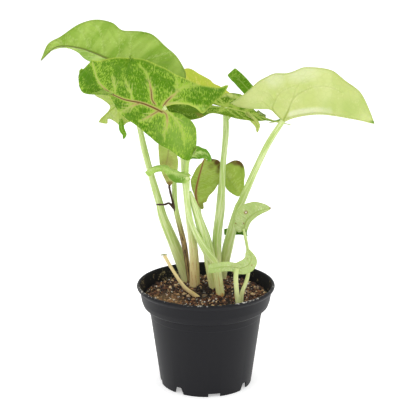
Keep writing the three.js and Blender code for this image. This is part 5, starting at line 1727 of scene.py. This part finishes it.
pot.data.materials.append(pot_plastic)
pot.data.polygons.foreach_set("use_smooth", [True] * len(pot.data.polygons))
pot.data.set_sharp_from_angle(angle=math.radians(38))
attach(pot, "root")
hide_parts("pot")
print("pot:", len(pot.data.polygons), "faces")

# %% [markdown]
# ## Potting mix
# The mix is bark, peat and perlite. A ground of dark peat fills the pot up to its rim, mounded
# towards the stalks. On it lie thousands of crumbs, so Geometry Nodes scatter them: points on
# the ground, a rough lump on each, turned and stretched at random, and then roughened again by
# noise so that no two look alike. The same tree with other numbers lays the perlite.

# %% Ground
SOIL_EDGE, SOIL_MOUND, MOUND_SPREAD = 74.5, 10, 30
SOIL_MIDDLE = (4, 4)
LUMP_WAVES = ((0.9, 0.35), (-0.4, 0.75), (1.7, -1.1))
SOIL_CRUMB = 0.9
SOIL_CLEARANCE = 0.42        # between the plug and the pot
SOIL_RADIUS = COLLAR_FOOT + 1.8 - POT_WALL - 0.3
HOLLOWS = (((2, -12), 6, 2.5), ((-6, -14), 5, 1.5))  # middle, width, depth


def soil_height(x, y):
    away = np.hypot(x - SOIL_MIDDLE[0], y - SOIL_MIDDLE[1])
    broad, cross, fine = (np.sin(a * x + b * y) for a, b in LUMP_WAVES)
    height = SOIL_EDGE + SOIL_MOUND * np.exp(-(away / MOUND_SPREAD) ** 2)
    height = height + SOIL_CRUMB * (broad * cross + fine / 2)
    for middle, width, depth in HOLLOWS:
        squared = (x - middle[0]) ** 2 + (y - middle[1]) ** 2
        height = height - depth * np.exp(-squared / width ** 2)
    return height


def soil_plug(rings=60, sides=144):
    """The ground as a closed plug that fits in the pot."""
    shape = bmesh.new()
    clear = SOIL_CLEARANCE
    floor_top = FLOOR_TOP + clear
    profile = [
        (PAD_RADIUS + 0.6, FLOOR_THICKNESS + clear), (RAMP_RADIUS + 0.6, floor_top),
        (inner_radius(floor_top) - clear, floor_top),
        (inner_radius(COLLAR_LINE) - clear, COLLAR_LINE - 0.6),
        (inner_radius(COLLAR_LINE) + 0.8 - clear, COLLAR_LINE + 1.6),
        (COLLAR_FOOT + 0.2 - POT_WALL - clear, COLLAR_LINE + 3)]
    profile += [(SOIL_RADIUS * (1 - ring / rings), None) for ring in range(rings)]
    angles = 2 * np.pi * np.arange(sides) / sides
    made = []
    for radius, height in profile:
        x, y = radius * np.cos(angles), radius * np.sin(angles)
        z = soil_height(x, y) if height is None else height + 0 * x
        made.append([shape.verts.new(corner) for corner in zip(MM * x, MM * y, MM * z)])
    ring_faces(shape, made)
    mesh = finished_mesh("potting_mix", shape)
    mesh.polygons.foreach_set("use_smooth", [True] * len(mesh.polygons))
    return mesh


soil_mesh = soil_plug()
print("soil:", len(soil_mesh.polygons), "faces, its middle", round(soil_height(0, 0), 1), "mm high")

# %% [markdown]
# ### Colours of the mix
# Each crumb has one tone out of a few barks. Between the stalks the mix is painted darker, a
# painted shade, and it is paler where dry fibres lie at the left, so a group masks a ragged zone
# round a point, and each finish mixes in the same three zones.

# %% Soil finishes
# Painted shade: the first two zones darken the mix between the stalks; the third is the paler dry
# fibres at the left.
SHADE_AND_FIBRE_ZONES = [((-3, -12, 9), (22, 14, 10), 0.75), ((4, -2, 7), (20, 13, 9), 0.75),
         ((-36, -20, 14), (210, 172, 118), 0.2)]      # middle and reach in mm, tone, amount

zone, given, result = new_tree(
    "ShaderNodeTree", "zone of the soil",
    [("X", FLOAT, 0.0), ("Y", FLOAT, 0.0), ("Reach", FLOAT, 0.01)], [("Mask", FLOAT)])
place = add(zone, "ShaderNodeTexCoord").outputs["Object"]
flat_place = add(zone, "ShaderNodeVectorMath", {0: place, 1: (1, 1, 0)},
                 operation="MULTIPLY").outputs[0]
middle = add(zone, "ShaderNodeCombineXYZ", {"X": given["X"], "Y": given["Y"]}).outputs[0]
away = add(zone, "ShaderNodeVectorMath", {0: flat_place, 1: middle},
           operation="DISTANCE").outputs["Value"]
ragged = calc(zone, "MULTIPLY", noise(zone, place, 260, detail=2), 8 * MM)
near = soft_step(zone, calc(zone, "ADD", away, ragged), given["Reach"],
                 calc(zone, "MULTIPLY", given["Reach"], 1.9))
wire(zone, result["Mask"], calc(zone, "SUBTRACT", 1.0, near))


def crumb_finish(name, tones, gloss=0.85):
    """A finish whose colour is picked for each crumb from a few chart colours."""
    made, tree, shader = new_material(name)
    pick = add(tree, "ShaderNodeValToRGB", {"Fac": attribute(tree, "crumb_tone")})
    stops = pick.color_ramp
    stops.interpolation = "CONSTANT"
    while len(stops.elements) < len(tones):
        stops.elements.new(0.5)
    for stop, (start, tone) in zip(stops.elements, tones):
        stop.position = start
        stop.color = paint(*tone)
    place = add(tree, "ShaderNodeTexCoord").outputs["Object"]
    grain = noise(tree, place, 900, detail=3, roughness=0.7)
    colour = mixed(tree, calc(tree, "MULTIPLY", grain, 0.55),
                   pick.outputs["Color"], paint(30, 20, 14))
    # painted shade between the stalks, and the paler fibres at the left
    for (x, y, reach), chart, amount in SHADE_AND_FIBRE_ZONES:
        inputs = {"X": x * MM, "Y": y * MM, "Reach": reach * MM}
        near = place_group(tree, zone, inputs)["Mask"]
        colour = mixed(tree, calc(tree, "MULTIPLY", near, amount), colour, paint(*chart))
    wire(tree, shader["Base Color"], colour)
    shader["Roughness"].default_value = gloss
    bump = add(tree, "ShaderNodeBump", {"Strength": 0.5, "Distance": 0.3 * MM, "Height": grain})
    wire(tree, shader["Normal"], bump.outputs["Normal"])
    return made


BARK = crumb_finish("bark crumbs", [
    (0.0, (34, 22, 16)), (0.3, (70, 42, 28)), (0.52, (112, 68, 42)), (0.72, (146, 98, 62)),
    (0.84, (194, 148, 100)), (0.93, (232, 200, 152))])
PEAT = crumb_finish("peat", [(0.0, (36, 25, 19)), (0.5, (52, 36, 26))])
PERLITE = crumb_finish("perlite", [(0.0, (250, 248, 242)), (0.6, (232, 226, 214))], gloss=0.7)
print("soil finishes:", BARK.name, PEAT.name, PERLITE.name, sep=", ")

# %% Scatter tree
FEW_LARGE = 2.2              # the higher, the fewer of the crumbs are large ones

scatter, given, result = new_tree(
    "GeometryNodeTree", "scattered crumbs",
    [("Ground", GEOMETRY, None), ("Per square metre", FLOAT, 1e5), ("Smallest", FLOAT, 0.001),
     ("Largest", FLOAT, 0.002), ("Roughness", FLOAT, 0.3), ("Seed", WHOLE, 0),
     ("Finish", MATERIAL, None)],
    [("Crumbs", GEOMETRY)])
points = add(scatter, "GeometryNodeDistributePointsOnFaces",
             {"Mesh": given["Ground"], "Density": given["Per square metre"], "Seed": given["Seed"]})
lump = add(scatter, "GeometryNodeMeshIcoSphere", {"Radius": 0.5, "Subdivisions": 1})


def random_value(tree, kind, low, high, seed):
    """A random number or vector for each point, its seed worked out from the tree's."""
    made = tree.nodes.new("FunctionNodeRandomValue")
    made.data_type = kind
    first = {"FLOAT_VECTOR": 0, "FLOAT": 2}[kind]
    wire(tree, made.inputs[first], low)
    wire(tree, made.inputs[first + 1], high)
    wire(tree, made.inputs["Seed"], seed)
    return made.outputs[{"FLOAT_VECTOR": 0, "FLOAT": 1}[kind]]


seeds = [calc(scatter, "ADD", given["Seed"], shift) for shift in (11, 23, 37, 41)]
span = random_value(scatter, "FLOAT", 0.0, 1.0, seeds[0])
span = calc(scatter, "POWER", span, FEW_LARGE)
wide = calc(scatter, "ADD", given["Smallest"], calc(
    scatter, "MULTIPLY", span, calc(scatter, "SUBTRACT", given["Largest"], given["Smallest"])))
stretch = random_value(scatter, "FLOAT_VECTOR", (0.6, 0.6, 0.35), (1.5, 1.0, 0.8), seeds[1])
scale = add(scatter, "ShaderNodeVectorMath", {0: stretch, "Scale": wide},
            operation="SCALE").outputs[0]
turn = random_value(scatter, "FLOAT_VECTOR", (-0.5, -0.5, 0.0), (0.5, 0.5, 6.283), seeds[2])
stand = add(scatter, "GeometryNodeInstanceOnPoints", {
    "Points": points.outputs["Points"], "Instance": lump.outputs["Mesh"],
    "Rotation": turn, "Scale": scale})
tone = random_value(scatter, "FLOAT", 0.0, 1.0, seeds[3])
marked = add(scatter, "GeometryNodeStoreNamedAttribute",
             {"Geometry": stand.outputs[0], "Name": "crumb_tone", "Value": tone}, domain="INSTANCE")
real = add(scatter, "GeometryNodeRealizeInstances", {"Geometry": marked.outputs[0]})
spot = add(scatter, "GeometryNodeInputPosition").outputs[0]
rough = add(scatter, "ShaderNodeTexNoise", {"Vector": spot, "Scale": 900.0, "Detail": 1.0})
push = add(scatter, "ShaderNodeVectorMath", {0: rough.outputs["Color"], 1: (0.5, 0.5, 0.5)},
           operation="SUBTRACT").outputs[0]
push = add(scatter, "ShaderNodeVectorMath", {
    0: push, "Scale": calc(scatter, "MULTIPLY", given["Roughness"], given["Largest"])},
    operation="SCALE").outputs[0]
shaped = add(scatter, "GeometryNodeSetPosition", {"Geometry": real.outputs[0], "Offset": push})
dressed = add(scatter, "GeometryNodeSetMaterial",
              {"Geometry": shaped.outputs[0], "Material": given["Finish"]})
wire(scatter, result["Crumbs"], dressed.outputs[0])
print("scatter tree:", len(scatter.nodes), "nodes")

# %% Lay the mix
PEAT_TONE = 0.2              # below 0.5, so the ground takes the darker of the two peats

soil_mesh.materials.append(PEAT)
ground = place_in_scene("potting_mix", soil_mesh)
store(soil_mesh, "crumb_tone", "FLOAT", [PEAT_TONE] * len(soil_mesh.vertices))
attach(ground, "root")
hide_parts("soil")
print("soil laid, its top edge", SOIL_EDGE, "mm up")


# %% Scatter the crumbs
def top_of(mesh, reach, lowest):
    """An object of the mesh's faces that lie within reach of the axis and above a height."""
    shape = bmesh.new()
    shape.from_mesh(mesh)
    drop = []
    for face in shape.faces:
        middle = face.calc_center_median()
        far, deep = math.hypot(*middle[:2]) > reach * MM, middle.z < lowest * MM
        if len(face.verts) > 4 or face.normal.z < 0.1 or far or deep:
            drop.append(face)
    bmesh.ops.delete(shape, geom=drop, context="FACES")
    return place_in_scene("ground top", finished_mesh("ground top", shape))


CRUMBS = {                   # reach from the axis, crumbs a square metre, sizes in mm, seed
    "bark_chips": (49.5, 2.4e5, 1.6, 4.6, BARK, 3),
    "bark_crumbs": (50.8, 9.0e5, 0.7, 1.9, BARK, 5),
    "perlite_grains": (50.0, 5.0e4, 0.9, 2.8, PERLITE, 8),
}
for name, (reach, density, smallest, largest, finish, seed) in CRUMBS.items():
    crumbs = grown(name, top_of(soil_mesh, reach, SOIL_EDGE - 6), scatter, {
        "Per square metre": density, "Smallest": smallest * MM, "Largest": largest * MM,
        "Roughness": 0.35, "Seed": seed, "Finish": finish})
    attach(crumbs, "root")
    print(name, len(crumbs.data.polygons), "faces")

# %% [markdown]
# ## Growing the plant
# The designs are only numbers until they are grown. Each becomes its blades, then its stalk
# swept from a root in the soil up to the first blade, then any sheath or dry twig, and all of
# them are joined to one object, because on the plant they are one living piece. What a blade's
# design doesn't name is taken from the common values.

# %% Parts of a leaf
BLADE_DEFAULTS = {
    "up": (0, 0, 1), "roll": 0, "width": (45, 45), "lobe": (45, 45),
    "outline": ("pointed", "pointed"), "fold": ((10, 10, 10, 0), (10, 10, 10, 0)),
    "curl": ((0, 0, 0), (0, 0, 0)), "droop": (10, 10), "wave": 1, "waves": 4, "phase": 0,
    "veins": (), "forks": True, "edge": (1, 1), "scars": (), "shade_patches": (), "pales_and_sheen": (),
    "holes": (), "fineness": 1,
}
ROWS, COLUMNS = (1.9, 36, 280), (1.1, 8, 66)     # of the grid to a millimetre, fewest, most


def joined(name, pieces):
    if len(pieces) > 1:
        with bpy.context.temp_override(active_object=pieces[0], selected_editable_objects=pieces):
            bpy.ops.object.join()
    pieces[0].name = pieces[0].data.name = name
    return pieces[0]


def rooted(path, root):
    """The path carried on straight down into the soil, to this height."""
    first, second = np.array(path[0], float), np.array(path[1], float)
    lean = first - second
    return [first + lean * (root - first[2]) / lean[2], *path]


def stalk_object(name, path, radii, finish, sides=24):
    curve = path_object(name, path, radii)
    return grown(name, curve, stalk_tree, {"Sides": sides, "Finish": STALK_FINISH[finish]})


def grid_count(length, per_mm, fewest, most):
    return int(np.clip(per_mm * length, fewest, most))


print("common values of a blade:", len(BLADE_DEFAULTS))

# %% Grow every leaf
NEXT_BLADE = 0.37            # what each further blade of a leaf adds to the leaf's seed
STALK_SINK = 0.8             # how far under the midrib's start the stalk's end lies


def leaf_object(name, design, seed):
    """A whole leaf: its blades, its stalk and what else grew with them."""
    pieces = []
    stalk = design["stalk"]
    ends = list(stalk["path"])
    for number, given in enumerate(design["blades"]):
        blade = {**BLADE_DEFAULTS, "seed": seed + NEXT_BLADE * number, **given}
        frames = rib_frames(blade)
        fineness = blade["fineness"]
        reach = frames["length"] + max(blade["lobe"])
        blade["rows"] = grid_count(fineness * reach, *ROWS)
        blade["columns"] = grid_count(fineness * max(blade["width"]), *COLUMNS)
        finishes = [LEAF_FINISH[side] for side in blade["sides"]]
        pieces.append(blade_object(f"{name} blade", blade, (finishes + finishes[-1:])[:3]))
        if number == 0:
            normal = unit(np.cross(frames["tangents"][0], frames["sides"][0]))
            ends.append(frames["points"][0] - STALK_SINK * normal)
    path = rooted(ends, stalk.get("root", SOIL_ROOT))
    radii = [stalk["radii"][0], *stalk["radii"]][:len(path)]
    pieces.append(stalk_object(f"{name} stalk", path, radii, stalk["finish"]))
    if "sheath" in design:
        sheath = design["sheath"]
        radii = [sheath["radii"][0], *sheath["radii"]]
        pieces.append(stalk_object(f"{name} sheath", rooted(sheath["path"], SOIL_ROOT), radii,
                                   stalk["finish"]))
    for twig in design.get("twigs", ()):
        pieces.append(stalk_object(f"{name} twig", twig["path"], twig["radii"],
                                   twig.get("finish", "twig"), sides=10))
    leaf = joined(f"{name}_grown", pieces)
    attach(leaf, "root")
    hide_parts(name)
    return leaf


for seed, (name, design) in enumerate(LEAVES.items()):
    leaf = leaf_object(name, design, seed)
    print(leaf.name, len(leaf.data.polygons), "faces")

# %% Measure and finish
size = {"cad": [list(corner) for corner in cad_box],
        "visual": [list(corner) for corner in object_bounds()]}
print(size)
